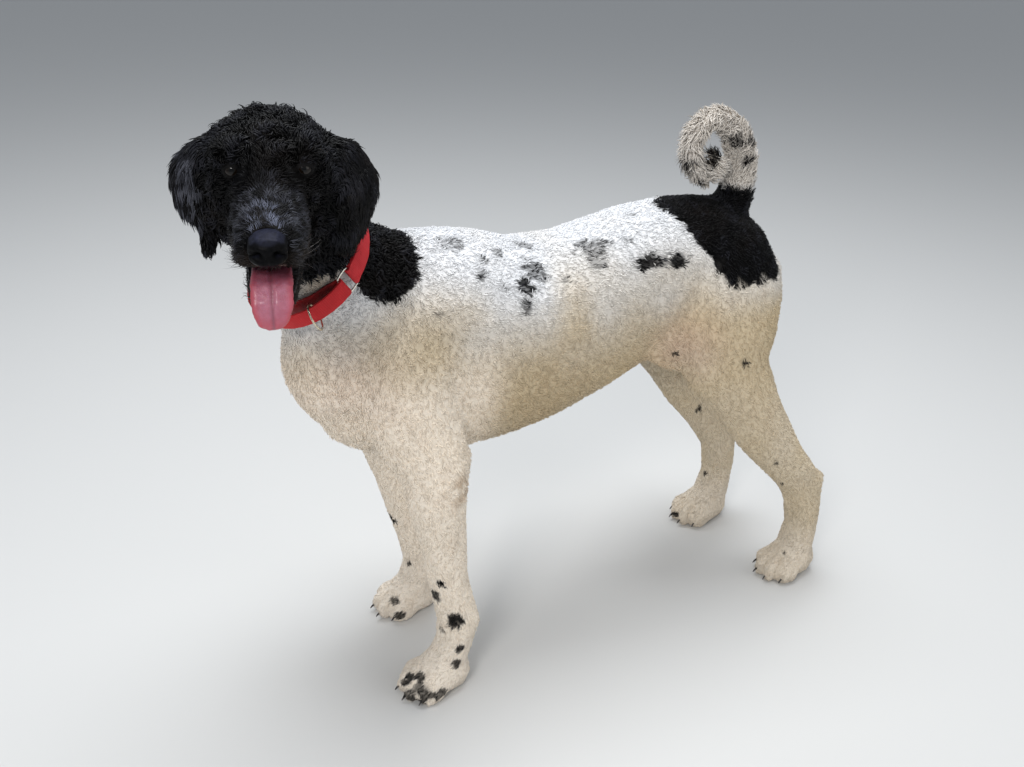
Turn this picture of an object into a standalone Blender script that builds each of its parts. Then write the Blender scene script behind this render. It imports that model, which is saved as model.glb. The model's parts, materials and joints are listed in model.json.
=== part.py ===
"""A standing standard poodle in a short clip, life size, as a still museum model.

The dog looks along -X with its left side towards -Y and its feet on the plane z = 0.
Every form here is the outside of the coat.  The body is shaped whole, from lofted tubes and
balls that a voxel remesh joins, and then parted into named solids by thin cuts.
"""

import math

import bmesh
import bpy
import numpy as np
from mathutils import Matrix, Vector

# ---------------------------------------------------------------- driving dimensions, metres
WITHERS_HEIGHT = 0.620
CROUP_HEIGHT = 0.616
CHEST_FLOOR = 0.318
PART_GAP = 0.0005

BODY_VOXEL = 0.0045
BODY_TRIANGLES = 2050
DETAIL_BIAS = 0.02
JAW_VOXEL = 0.003
JAW_TRIANGLES = 220
BODY_ROUNDS = 8
JAW_ROUNDS = 3
CAP_ANGLE = math.radians(80)
FLATNESS = math.radians(4)
SHARP_EDGE = math.radians(40)
WELD = 2e-6
MOST_CRUMB = 24

# midway between the eyes, and the way the head is turned and tipped there
HEAD_CENTRE = Vector((-0.384, -0.123, 0.7465))
EYE_LIFT = 0.0025
HEAD_TURN = math.radians(70.7)
HEAD_NOD = math.radians(-1.0)
EYE_SPACING = 0.0710
EYE_RADIUS = 0.0115
SOCKET_RADII = (0.016, 0.0115, 0.0078)
EAR_LENGTH = 0.108
EAR_HALF_WIDTH = 0.0345
EAR_TOP = 0.010
EAR_GAP = 0.0010
# how wide each ear is, from its root to its tip, as shares of its greatest half width
EAR_TAPER = {-1: (0.58, 0.84, 1.00, 0.96, 0.68, 0.34), 1: (0.58, 0.84, 1.00, 0.78, 0.44, 0.28)}

# the middle of each foot on the floor
FOOT = {"fore_left": (-0.200, -0.107), "fore_right": (-0.163, 0.072),
        "hind_left": (0.420, -0.124), "hind_right": (0.395, 0.068)}
RIGHT_FORE_LEAN = 0.037
RIGHT_HIND_LEAN = -0.024
ELBOW_CUT = 0.306
HOCK_CUT = 0.146
SHANK_LINE = (-0.51, 0.0, 0.86)
WRIST_CUT = 0.078
CLAW_LENGTH = 0.0095

# the collar lies in a plane across the neck, as an oval
NECK_AXIS = Vector((-0.585, -0.293, 0.756)).normalized()
COLLAR_CENTRE = Vector((-0.324, -0.0415, 0.6165))
COLLAR_HALF_WIDTH = 0.0670
COLLAR_NAPE = 0.0815
COLLAR_THROAT = 0.0760
COLLAR_WIDTH = 0.024
WEBBING = 0.0024
LOOP_SLACK = 0.012
SLIDE_WIRE = 0.0015
LEAD_RING_RADIUS = 0.0152
LEAD_RING_WIRE = 0.0013
LEAD_RING_HANG = 0.0044
LEFT_SLIDE = math.radians(186)
RIGHT_SLIDE = math.radians(354)
SLIDE_HALF_LENGTH = math.radians(6.6)
SLIDE_OVERHANG = 0.0028
SLIDE_CORNER = 0.0035
FOLD_REACH = math.radians(24)
FOLD_MOUTH = math.radians(25)
LEAD_RING_ANGLE = math.radians(225)
EYELET = 0.0020

COLOURS = {
    "black_coat": ((0.020, 0.020, 0.022, 1.0), 0.75, 0.0),
    "white_coat": ((0.78, 0.74, 0.68, 1.0), 0.80, 0.0),
    "nose_leather": ((0.012, 0.012, 0.013, 1.0), 0.35, 0.0),
    "tongue": ((0.72, 0.27, 0.33, 1.0), 0.35, 0.0),
    "eye": ((0.05, 0.025, 0.012, 1.0), 0.05, 0.0),
    "claw": ((0.035, 0.03, 0.03, 1.0), 0.45, 0.0),
    "red_webbing": ((0.62, 0.03, 0.025, 1.0), 0.70, 0.0),
    "ring_metal": ((0.72, 0.69, 0.62, 1.0), 0.25, 1.0),
}


# ---------------------------------------------------------------- scene helpers
def clear_scene():
    for old in list(bpy.data.objects):
        bpy.data.objects.remove(old, do_unlink=True)


def new_collection(name):
    made = bpy.data.collections.new(name)
    bpy.context.scene.collection.children.link(made)
    return made


def material(name):
    found = bpy.data.materials.get(name)
    if found:
        return found
    colour, roughness, metallic = COLOURS[name]
    made = bpy.data.materials.new(name)
    made.use_nodes = True
    shader = made.node_tree.nodes["Principled BSDF"]
    shader.inputs["Base Color"].default_value = colour
    shader.inputs["Roughness"].default_value = roughness
    shader.inputs["Metallic"].default_value = metallic
    made.diffuse_color = colour
    return made


def add_object(name, data, collection, finish=None):
    made = bpy.data.objects.new(name, data)
    collection.objects.link(made)
    if finish:
        data.materials.clear()
        data.materials.append(material(finish))
    return made


def add_cutter(name, mesh):
    made = add_object(name, mesh, bpy.data.collections["cutters"])
    made.hide_render = True
    made.display_type = "WIRE"
    return made


def mesh_from(bm, name):
    mesh = bpy.data.meshes.new(name)
    bm.to_mesh(mesh)
    bm.free()
    return mesh


def evaluated_mesh(obj, name):
    bpy.context.view_layer.update()
    graph = bpy.context.evaluated_depsgraph_get()
    made = bpy.data.meshes.new_from_object(obj.evaluated_get(graph))
    made.name = name
    made.transform(obj.matrix_world)
    return made


def settle(obj):
    """Replaces the object's data with its evaluated mesh, and drops its modifiers."""
    made = evaluated_mesh(obj, obj.name)
    finish = obj.data.materials[0] if len(obj.data.materials) else None
    obj.modifiers.clear()
    obj.data = made
    made.materials.clear()
    if finish:
        made.materials.append(finish)


# ---------------------------------------------------------------- lofted tubes and balls
def smooth_rows(rows, per_span):
    """Points on a Catmull-Rom curve through the rows, per_span to each span."""
    rows = np.array(rows, float)
    padded = np.vstack([2 * rows[0] - rows[1], rows, 2 * rows[-1] - rows[-2]])
    found = []
    for i in range(len(rows) - 1):
        a, b, c, d = padded[i:i + 4]
        for step in range(per_span):
            t = step / per_span
            found.append(0.5 * (2 * b + (c - a) * t + (2 * a - 5 * b + 4 * c - d) * t * t
                                + (3 * b - a - 3 * c + d) * t ** 3))
    found.append(rows[-1])
    return np.array(found)


def loft(bm, stations, sideways=(0, 1, 0), sides=20, per_span=4, egg=0.0, boxy=2.0,
         start_round=0.6, end_round=0.6, cap_rings=3, place=None):
    """A closed tube through stations of (x, y, z, half depth, half width).

    Half width lies along `sideways`.  A positive `egg` widens the upper side, and a `boxy`
    over 2 squares the section.  The ends are rounded off by shares of their own half depth.
    """
    rows = smooth_rows(stations, per_span)
    centres = [Vector(row[:3]) for row in rows]
    sideways = Vector(sideways)
    last = len(centres) - 1
    rings = []

    def add_ring(centre, ahead, deep, wide):
        across = (sideways - ahead * sideways.dot(ahead)).normalized()
        upward = ahead.cross(across)
        made = []
        for k in range(sides):
            c, s = (turn(2 * math.pi * k / sides) for turn in (math.cos, math.sin))
            squared = (abs(c) ** boxy + abs(s) ** boxy) ** (-1 / boxy)
            made.append(bm.verts.new(centre + across * (wide * (1 + egg * s) * c * squared)
                                     + upward * (deep * s * squared)))
        rings.append(made)

    def add_cap(centre, ahead, deep, wide, roundness, steps):
        for step in steps:
            angle = CAP_ANGLE * step / cap_rings
            reach, share = deep * roundness * math.sin(angle), math.cos(angle)
            add_ring(centre + ahead * reach, ahead, deep * share, wide * share)

    aheads = [(centres[min(i + 1, last)] - centres[max(i - 1, 0)]).normalized()
              for i in range(len(centres))]
    if start_round:
        add_cap(centres[0], aheads[0], *rows[0][3:5], -start_round, range(cap_rings, 0, -1))
    for centre, ahead, row in zip(centres, aheads, rows):
        add_ring(centre, ahead, row[3], row[4])
    if end_round:
        add_cap(centres[-1], aheads[-1], *rows[-1][3:5], end_round, range(1, cap_rings + 1))
    for first, second in zip(rings, rings[1:]):
        for k in range(sides):
            n = (k + 1) % sides
            bm.faces.new((first[k], first[n], second[n], second[k]))
    bm.faces.new(rings[0])
    bm.faces.new(list(reversed(rings[-1])))
    if place is not None:
        bmesh.ops.transform(bm, matrix=place, verts=[v for ring in rings for v in ring])
    bmesh.ops.recalc_face_normals(bm, faces=bm.faces)


def ball(bm, centre, radii, turn=0.0, tilt=0.0, place=None):
    """An ellipsoid, tilted about Y and then turned about Z."""
    matrix = (Matrix.Translation(centre) @ Matrix.Rotation(turn, 4, "Z")
              @ Matrix.Rotation(tilt, 4, "Y") @ Matrix.Diagonal((*radii, 1.0)))
    if place is not None:
        matrix = place @ matrix
    bmesh.ops.create_uvsphere(bm, u_segments=20, v_segments=12, radius=1.0, matrix=matrix)


# ---------------------------------------------------------------- the body's forms
def head_matrix():
    """The head's own frame: its origin is midway between the eyes, and it looks along -X."""
    return (Matrix.Translation(HEAD_CENTRE) @ Matrix.Rotation(HEAD_TURN, 4, "Z")
            @ Matrix.Rotation(HEAD_NOD, 4, "Y"))


def add_trunk(bm):
    loft(bm, [(-0.290, -0.005, 0.478, 0.088, 0.066),
              (-0.220, 0.000, 0.472, 0.132, 0.095),
              (-0.130, 0.000, CHEST_FLOOR + 0.1480, 0.150, 0.106),
              (-0.040, 0.000, 0.459, 0.136, 0.108),
              (0.050, 0.000, 0.470, 0.123, 0.100),
              (0.130, 0.000, 0.492, 0.116, 0.089),
              (0.200, 0.000, 0.503, 0.113, 0.088),
              (0.280, 0.000, 0.505, 0.105, 0.090),
              (0.330, 0.000, 0.500, 0.082, 0.080)],
         egg=0.06, boxy=2.15, sides=32)
    # the withers and the croup, where the spine stands up under the coat
    ball(bm, (-0.170, 0.0, 0.552), (0.095, 0.052, WITHERS_HEIGHT - 0.552))
    ball(bm, (0.205, 0.0, 0.545), (0.095, 0.066, CROUP_HEIGHT - 0.545))
    # the breast, ahead of the shoulders
    ball(bm, (-0.300, -0.008, 0.470), (0.052, 0.066, 0.085), tilt=math.radians(-10))
    ball(bm, (-0.262, 0.000, 0.400), (0.050, 0.062, 0.062), tilt=math.radians(-30))
    ball(bm, (-0.306, -0.020, 0.540), (0.048, 0.056, 0.056), tilt=math.radians(-25))
    # the fold of the flank, from the belly to the knee
    for side in (-1, 1):
        ball(bm, (0.212, 0.066 * side, 0.436), (0.072, 0.018, 0.060))


def add_neck(bm):
    loft(bm, [(-0.165, 0.000, 0.510, 0.118, 0.088),
              (-0.232, -0.006, 0.542, 0.095, 0.080),
              (-0.290, -0.024, 0.592, 0.076, 0.068),
              (-0.326, -0.044, 0.634, 0.067, 0.062),
              (-0.350, -0.064, 0.682, 0.066, 0.061),
              (-0.362, -0.078, 0.722, 0.068, 0.062)])


def add_foreleg(bm, side, foot, lean):
    """Side is -1 on the left.  The lean carries the leg backwards towards the ground."""
    outward = foot[1]
    elbow_out = 0.5 * (outward + 0.084 * side)

    def at(x, z, deep, wide, out):
        back = lean * max(0.0, (0.36 - z) / 0.36)
        return (x + back, out, z, deep, wide)

    loft(bm, [at(-0.180, 0.540, 0.055, 0.034, 0.058 * side),
              at(-0.208, 0.470, 0.066, 0.044, 0.068 * side),
              at(-0.210, 0.405, 0.062, 0.045, 0.076 * side),
              at(-0.195, 0.345, 0.050, 0.040, elbow_out),
              at(-0.196, 0.300, 0.0405, 0.036, outward),
              at(-0.189, 0.250, 0.0340, 0.031, outward),
              at(-0.184, 0.200, 0.0300, 0.028, outward),
              at(-0.176, 0.150, 0.0280, 0.027, outward),
              at(-0.167, 0.108, 0.0305, 0.029, outward),
              at(-0.172, 0.072, 0.0265, 0.027, outward),
              at(-0.185, 0.040, 0.0260, 0.029, outward)])
    # the point of the elbow, and the pad at the back of the wrist
    ball(bm, (-0.163, 0.5 * (outward + 0.080 * side), 0.352), (0.022, 0.026, 0.028))
    ball(bm, (-0.145 + lean * 0.72, outward, 0.098), (0.014, 0.015, 0.017))


def add_hindleg(bm, side, foot, lean):
    """Side is -1 on the left.  The lean carries the leg forwards towards the ground."""
    outward = foot[1]
    hip, knee = 0.060 * side, 0.082 * side

    def at(x, z, deep, wide, out):
        forward = lean * max(0.0, (0.30 - z) / 0.30)
        return (x + forward, out, z, deep, wide)

    loft(bm, [at(0.275, 0.545, 0.072, 0.036, hip),
              at(0.280, 0.490, 0.094, 0.046, 0.066 * side),
              at(0.280, 0.430, 0.088, 0.050, 0.074 * side),
              at(0.286, 0.375, 0.068, 0.046, knee),
              at(0.312, 0.320, 0.052, 0.041, 0.6 * knee + 0.4 * outward),
              at(0.346, 0.265, 0.044, 0.036, 0.3 * knee + 0.7 * outward),
              at(0.386, 0.212, 0.035, 0.031, outward),
              at(0.423, 0.165, 0.0345, 0.029, outward),
              at(0.436, 0.125, 0.0310, 0.0275, outward),
              at(0.440, 0.085, 0.0285, 0.0265, outward),
              at(0.436, 0.045, 0.0300, 0.0290, outward)])
    # the points of the hock and the buttock, and the front of the knee
    ball(bm, (0.452 + lean * 0.45, outward, 0.166), (0.018, 0.018, 0.024))
    ball(bm, (0.338, 0.052 * side, 0.470), (0.044, 0.044, 0.075), tilt=math.radians(8))
    ball(bm, (0.246, knee, 0.375), (0.038, 0.036, 0.052), tilt=math.radians(-20))


def toe_places():
    """Each of the four toes as (along, across, turn) from the foot's centre."""
    return [(-0.030, -0.0100, 3), (-0.030, 0.0100, -3), (-0.014, -0.0270, 9), (-0.014, 0.0270, -9)]


def add_paw(bm, foot):
    """A compact oval foot with four arched toes.  The soles reach a little below z = 0."""
    x, y = foot
    ball(bm, (x + 0.010, y, 0.026), (0.040, 0.0335, 0.032))
    ball(bm, (x + 0.022, y, 0.012), (0.024, 0.025, 0.018))
    for along, across, turn in toe_places():
        ball(bm, (x + along, y + across, 0.0165), (0.0235, 0.0122, 0.0190), math.radians(turn),
             tilt=math.radians(-14))
        ball(bm, (x + along - 0.005, y + across, 0.0080), (0.015, 0.0112, 0.0115),
             math.radians(turn))


def add_tail(bm):
    """Up from the croup, over the back, and drawn in to a coil that leans to the left."""
    line = [(0.300, 0.560, 0.0360), (0.327, 0.600, 0.0300), (0.3315, 0.632, 0.0265),
            (0.3305, 0.660, 0.0245), (0.322, 0.686, 0.0225), (0.307, 0.7055, 0.0200),
            (0.286, 0.7195, 0.0183), (0.263, 0.7200, 0.0172), (0.245, 0.7070, 0.0165),
            (0.2355, 0.6850, 0.0158), (0.2395, 0.6600, 0.0148), (0.2560, 0.6420, 0.0140),
            (0.2760, 0.6400, 0.0125), (0.2875, 0.6520, 0.0105), (0.2850, 0.6660, 0.0085),
            (0.2740, 0.6710, 0.0065)]
    last = len(line) - 1
    loft(bm, [(x, -0.014 * (i / last) ** 2, z, thick, thick)
              for i, (x, z, thick) in enumerate(line)], sides=14, end_round=0.8)


def add_head(bm):
    place = head_matrix()
    # the skull under its cap of curls, wider behind the brows
    ball(bm, (0.054, 0.0, -0.014), (0.088, 0.0730, 0.068), place=place)
    ball(bm, (0.024, 0.0, 0.004), (0.046, 0.060, 0.047), place=place)
    # the brows, the cheeks and the flews
    for side in (-1, 1):
        ball(bm, (0.004, 0.030 * side, 0.0190), (0.0215, 0.029, 0.0170), place=place)
        ball(bm, (0.047, 0.035 * side, -0.052), (0.050, 0.030, 0.042), place=place)
        ball(bm, (-0.030, 0.024 * side, -0.050), (0.046, 0.0175, 0.0215), place=place)
        ball(bm, (-0.078, 0.0205 * side, -0.0555), (0.026, 0.0150, 0.0155), place=place)
    # the muzzle, from between the eyes to behind the nose
    loft(bm, [(0.030, 0.0, -0.026, 0.036, 0.040),
              (-0.010, 0.0, -0.030, 0.031, 0.036),
              (-0.045, 0.0, -0.0365, 0.0290, 0.0345),
              (-0.080, 0.0, -0.0430, 0.0245, 0.0320),
              (-0.102, 0.0, -0.0475, 0.0190, 0.0265)],
         boxy=2.4, end_round=0.35, place=place)
    # the throat, down to the top of the neck
    ball(bm, (0.060, 0.0, -0.072), (0.052, 0.048, 0.034), place=place)


def body_form():
    """The whole body, but for the lower jaw and the ears, in one mesh of joined forms."""
    bm = bmesh.new()
    add_trunk(bm)
    add_neck(bm)
    add_foreleg(bm, -1, FOOT["fore_left"], 0.0)
    add_foreleg(bm, 1, FOOT["fore_right"], RIGHT_FORE_LEAN)
    add_hindleg(bm, -1, FOOT["hind_left"], 0.0)
    add_hindleg(bm, 1, FOOT["hind_right"], RIGHT_HIND_LEAN)
    for foot in FOOT.values():
        add_paw(bm, foot)
    add_tail(bm)
    add_head(bm)
    return mesh_from(bm, "body_form")


def jaw_form():
    """The lower jaw, dropped open, with its root between the cheeks."""
    bm = bmesh.new()
    place = head_matrix()
    loft(bm, [(0.036, 0.0, -0.0790, 0.0150, 0.0300),
              (0.008, 0.0, -0.0885, 0.0180, 0.0320),
              (-0.030, 0.0, -0.0975, 0.0160, 0.0290),
              (-0.062, 0.0, -0.1010, 0.0140, 0.0262),
              (-0.084, 0.0, -0.1030, 0.0125, 0.0235)],
         boxy=2.2, place=place)
    return mesh_from(bm, "jaw_form")


# ---------------------------------------------------------------- joining, cutting, fitting
def fused(mesh, name, voxel, rounds, triangles, keep_detail=None):
    """The forms' union as one even skin, eased, and thinned to a number of triangles."""
    rough = add_object(name, mesh, bpy.context.scene.collection)
    remesh = rough.modifiers.new("fused", "REMESH")
    remesh.mode = "VOXEL"
    remesh.voxel_size = voxel
    settle(rough)
    soft = rough.vertex_groups.new(name="soft")
    for vertex in rough.data.vertices:
        soft.add([vertex.index], keep_detail(vertex.co) if keep_detail else 1.0, "REPLACE")
    eased = rough.modifiers.new("eased", "SMOOTH")
    eased.factor = 0.5
    eased.iterations = rounds
    eased.vertex_group = "soft"
    settle(rough)
    quads = len(rough.data.polygons)
    thinned = rough.modifiers.new("thinned", "DECIMATE")
    thinned.ratio = triangles / (2 * quads)
    thinned.use_collapse_triangulate = True
    thinned.vertex_group = "soft"
    thinned.vertex_group_factor = DETAIL_BIAS
    settle(rough)
    return rough


def body_softness(point):
    """How far a place on the body is eased: least on the face, the feet and the tail."""
    if point.z < 0.06:
        return 0.25
    if (point - HEAD_CENTRE).length < 0.15:
        return 0.35
    if point.z > 0.62 and point.x > 0.20:
        return 0.5
    return 1.0


def cut_flat(obj, height=0.0):
    """Takes off what lies below a level, and closes the cut."""
    bm = bmesh.new()
    bm.from_mesh(obj.data)
    found = bmesh.ops.bisect_plane(bm, geom=bm.verts[:] + bm.edges[:] + bm.faces[:], dist=1e-6,
                                   plane_co=(0, 0, height), plane_no=(0, 0, 1),
                                   clear_inner=True)
    rims = [e for e in found["geom_cut"] if isinstance(e, bmesh.types.BMEdge)]
    bmesh.ops.holes_fill(bm, edges=rims, sides=0)
    bmesh.ops.triangulate(bm, faces=[f for f in bm.faces if len(f.verts) > 4])
    bm.to_mesh(obj.data)
    bm.free()


def boolean(obj, cutter, operation):
    step = obj.modifiers.new(operation.lower(), "BOOLEAN")
    step.operation = operation
    step.solver = "EXACT"
    step.object = cutter
    settle(obj)


def grown(mesh, amount, name):
    """A copy of a mesh with every corner moved out along its normal."""
    bm = bmesh.new()
    bm.from_mesh(mesh)
    bm.normal_update()
    for vertex in bm.verts:
        vertex.co += vertex.normal * amount * min(2.0, vertex.calc_shell_factor())
    return mesh_from(bm, name)


def keep_largest(obj):
    """Drops the crumbs that a cut leaves, and welds its slivers."""
    bm = bmesh.new()
    bm.from_mesh(obj.data)
    bmesh.ops.remove_doubles(bm, verts=bm.verts, dist=WELD)
    for island in sorted(islands_of(bm), key=len)[:-1]:
        bmesh.ops.delete(bm, geom=list(island), context="VERTS")
    bm.to_mesh(obj.data)
    bm.free()


def carve(target, tool, clearance=PART_GAP):
    """Takes the tool's space, and a thin gap round it, out of the target."""
    cutter = add_cutter(f"{tool.name}_space", grown(tool.data, clearance, f"{tool.name}_space"))
    boolean(target, cutter, "DIFFERENCE")
    bpy.data.objects.remove(cutter, do_unlink=True)
    keep_largest(target)


def limb_cell(stations, amount=0.0):
    """A closed capsule that holds the top of a limb, with a flat lower end."""
    bm = bmesh.new()
    loft(bm, stations, sides=12, per_span=1, start_round=0.0, end_round=0.9, cap_rings=2)
    mesh = mesh_from(bm, "limb_cell")
    return grown(mesh, amount, "limb_cell") if amount else mesh


def split_off(body, stations, name, parts):
    """Moves what lies inside a limb cell out of the body, into an object of its own."""
    piece = add_object(name, body.data.copy(), parts, "white_coat")
    inside = add_cutter(f"{name}_inside", limb_cell(stations))
    around = add_cutter(f"{name}_around", limb_cell(stations, PART_GAP))
    boolean(piece, inside, "INTERSECT")
    boolean(body, around, "DIFFERENCE")
    for cutter in (inside, around):
        bpy.data.objects.remove(cutter, do_unlink=True)
    keep_largest(piece)


def islands_of(bm):
    """The mesh's separate bodies, as sets of corners."""
    left = set(bm.verts)
    found = []
    while left:
        waiting = [left.pop()]
        island = set(waiting)
        while waiting:
            for edge in waiting.pop().link_edges:
                for other in edge.verts:
                    if other in left:
                        left.remove(other)
                        island.add(other)
                        waiting.append(other)
        found.append(island)
    return found


# ---------------------------------------------------------------- the body's named parts
# where the body is sawn through: the middle of each cut, its direction and its width
CUTS = [((-0.352, -0.066, 0.690), tuple(NECK_AXIS), 0.34),
        ((-0.252, -0.012, 0.568), (-0.60, -0.18, 0.78), 0.30),
        ((0.3270, 0.0, 0.6060), (0.12, 0.0, 0.99), 0.076),
        ((0.3290, 0.0, 0.6640), (-0.12, 0.0, 0.99), 0.060),
        ((0.2630, 0.0, 0.7200), (-0.97, 0.0, -0.24), 0.048)]

# a place inside each piece that the cuts leave, and its coat
PIECES = {"head": ((-0.40, -0.14, 0.735), "black_coat"),
          "neck": ((-0.30, -0.03, 0.620), "black_coat"),
          "trunk": ((0.00, 0.00, 0.470), "white_coat"),
          "tail_base": ((0.330, 0.0, 0.635), "white_coat"),
          "tail_middle": ((0.300, 0.0, 0.705), "white_coat"),
          "tail_tip": ((0.255, 0.0, 0.660), "white_coat")}


def leg_cuts():
    """The level cuts of the legs, and the pieces that they make."""
    cuts, pieces = [], {}
    for name, (x, y) in FOOT.items():
        end, side = name.split("_")
        lean = RIGHT_FORE_LEAN if name == "fore_right" else 0.0
        if name == "hind_right":
            lean = RIGHT_HIND_LEAN
        if end == "fore":
            cuts.append(((-0.196, y, ELBOW_CUT), (0, 0, 1), 0.13))
            cuts.append(((-0.172 + 0.78 * lean, y, WRIST_CUT), (0, 0, 1), 0.10))
            pieces[f"forearm_{side}"] = ((-0.184 + 0.45 * lean, y, 0.20), "white_coat")
            pieces[f"forepaw_{side}"] = ((x, y, 0.03), "white_coat")
        else:
            knee_out = 0.6 * math.copysign(0.082, y) + 0.4 * y
            cuts.append(((0.322, knee_out, 0.308), SHANK_LINE, 0.155))
            cuts.append(((0.430 + 0.5 * lean, y, HOCK_CUT), (-0.15, 0, 0.99), 0.11))
            cuts.append(((0.438 + 0.8 * lean, y, WRIST_CUT), (0, 0, 1), 0.10))
            pieces[f"shank_{side}"] = ((0.375 + 0.3 * lean, y, 0.23), "white_coat")
            pieces[f"hock_{side}"] = ((0.435 + 0.6 * lean, y, 0.11), "white_coat")
            pieces[f"hindpaw_{side}"] = ((x, y, 0.03), "white_coat")
    return cuts, pieces


def limb_tops():
    """The cells that hold the shoulders and the thighs, down to the first level cut."""
    cells = {}
    for side, word in ((-1, "left"), (1, "right")):
        fore_out = (0.5 * abs(FOOT[f"fore_{word}"][1]) + 0.052) * side
        cells[f"shoulder_{word}"] = [(-0.198, fore_out, ELBOW_CUT, 0.068, 0.058),
                                     (-0.199, fore_out, 0.360, 0.072, 0.056),
                                     (-0.205, fore_out, 0.430, 0.070, 0.050),
                                     (-0.196, fore_out, 0.495, 0.055, 0.040)]
        hind_out = (0.3 * abs(FOOT[f"hind_{word}"][1]) + 0.060) * side
        cells[f"thigh_{word}"] = [(0.3220, hind_out, 0.308, 0.076, 0.066),
                                  (0.3010, hind_out, 0.3434, 0.084, 0.062),
                                  (0.2830, hind_out, 0.400, 0.096, 0.054),
                                  (0.2780, hind_out, 0.465, 0.096, 0.046),
                                  (0.2780, hind_out, 0.515, 0.082, 0.038)]
    return cells


def part_body(body, parts):
    """Saws the body into its named pieces.  The limbs' tops are lifted out first."""
    for name, stations in limb_tops().items():
        split_off(body, stations, name, parts)
    cuts, pieces = leg_cuts()
    bm = bmesh.new()
    for centre, direction, width in CUTS + cuts:
        turn = Vector(direction).to_track_quat("Z", "Y").to_matrix().to_4x4()
        place = Matrix.Translation(centre) @ turn @ Matrix.Diagonal((width, width, PART_GAP, 1))
        bmesh.ops.create_cube(bm, size=1.0, matrix=place)
    saw = add_cutter("saw", mesh_from(bm, "saw"))
    boolean(body, saw, "DIFFERENCE")
    bpy.data.objects.remove(saw, do_unlink=True)
    pieces.update(PIECES)
    take_pieces(body, pieces, parts)


def take_pieces(body, pieces, parts):
    """Makes an object of each separate body, named for the place nearest to its middle."""
    bm = bmesh.new()
    bm.from_mesh(body.data)
    bmesh.ops.remove_doubles(bm, verts=bm.verts, dist=WELD)
    islands = [island for island in islands_of(bm) if len(island) > MOST_CRUMB]
    for name, (place, finish) in pieces.items():
        def distance(island):
            middle = sum((v.co for v in island), Vector()) / len(island)
            return (middle - Vector(place)).length
        island = min(islands, key=distance)
        islands.remove(island)
        piece = bm.copy()
        piece.verts.index_update()
        bm.verts.index_update()
        kept = {v.index for v in island}
        bmesh.ops.delete(piece, geom=[v for v in piece.verts if v.index not in kept],
                         context="VERTS")
        add_object(name, mesh_from(piece, name), parts, finish)
    bm.free()
    bpy.data.objects.remove(body, do_unlink=True)


def build_ear(side, parts):
    """A long drop ear.  It hangs beside the cheek, and its rear edge stands outwards."""
    line = [(0.044, 0.058, 0.00, 0.0120), (0.053, 0.075, 0.12, 0.0145),
            (0.057, 0.085, 0.32, 0.0150), (0.049, 0.082, 0.54, 0.0135),
            (0.038, 0.075, 0.77, 0.0110), (0.033, 0.071, 0.96, 0.0090)]
    stations = [(x, out * side, EAR_TOP - share * EAR_LENGTH, thick, taper * EAR_HALF_WIDTH)
                for (x, out, share, thick), taper in zip(line, EAR_TAPER[side])]
    bm = bmesh.new()
    loft(bm, stations, sideways=(1.0, 0.55 * side, 0.0), sides=12, per_span=2, start_round=0.8,
         end_round=1.0, cap_rings=2, place=head_matrix())
    name = "ear_left" if side < 0 else "ear_right"
    return add_object(name, mesh_from(bm, name), parts, "black_coat")


def build_eye(side, parts):
    name = "eye_left" if side < 0 else "eye_right"
    bm = bmesh.new()
    place = head_matrix() @ Matrix.Translation((0.001, side * EYE_SPACING / 2, EYE_LIFT))
    bmesh.ops.create_uvsphere(bm, u_segments=10, v_segments=7, radius=EYE_RADIUS, matrix=place)
    return add_object(name, mesh_from(bm, name), parts, "eye")


def build_nose(parts):
    bm = bmesh.new()
    place = head_matrix()
    loft(bm, [(-0.086, 0.0, -0.0400, 0.0120, 0.0165),
              (-0.100, 0.0, -0.0425, 0.0150, 0.0185),
              (-0.112, 0.0, -0.0450, 0.0145, 0.0175),
              (-0.118, 0.0, -0.0465, 0.0105, 0.0130)],
         boxy=2.5, sides=12, per_span=1, start_round=0.3, end_round=0.3, cap_rings=2,
         place=place)
    return add_object("nose", mesh_from(bm, "nose"), parts, "nose_leather")


def build_tongue(parts):
    """From the floor of the mouth, over the lip, and down past the chin."""
    bm = bmesh.new()
    loft(bm, [(0.004, 0.0, -0.0750, 0.0035, 0.0150),
              (-0.035, 0.0, -0.0775, 0.0045, 0.0190),
              (-0.072, 0.0, -0.0795, 0.0048, 0.0215),
              (-0.092, 0.0, -0.0850, 0.0048, 0.0225),
              (-0.102, 0.0, -0.1000, 0.0046, 0.0230),
              (-0.1045, 0.0, -0.1140, 0.0044, 0.0230),
              (-0.1040, 0.0, -0.1230, 0.0040, 0.0200),
              (-0.1030, 0.0, -0.1290, 0.0032, 0.0130)],
         sides=10, per_span=1, start_round=0.8, end_round=0.9, cap_rings=1, place=head_matrix())
    return add_object("tongue", mesh_from(bm, "tongue"), parts, "tongue")


def claw_objects(name, foot, parts):
    """The four claws of a foot, curved down from the tips of its toes."""
    made = []
    for number, (along, across, turn) in enumerate(toe_places(), 1):
        heading = Vector((-1, 0, 0))
        heading.rotate(Matrix.Rotation(math.radians(turn), 3, "Z"))
        root = Vector((foot[0] + along, foot[1] + across, 0.0125)) + heading * 0.017
        bm = bmesh.new()
        points = [(root + heading * (CLAW_LENGTH * share) - Vector((0, 0, drop)), thick)
                  for share, drop, thick in ((0.0, 0.0, 0.0030), (0.5, 0.0012, 0.0026),
                                             (0.85, 0.0042, 0.0016), (1.0, 0.0066, 0.0008))]
        across_line = Vector((0, 0, 1)).cross(heading)
        loft(bm, [(*point, thick, thick * 0.8) for point, thick in points],
             sideways=across_line, sides=5, per_span=1, start_round=0.0, end_round=0.0)
        claw_name = f"claw_{name}_{number}"
        made.append(add_object(claw_name, mesh_from(bm, claw_name), parts, "claw"))
    return made


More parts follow.
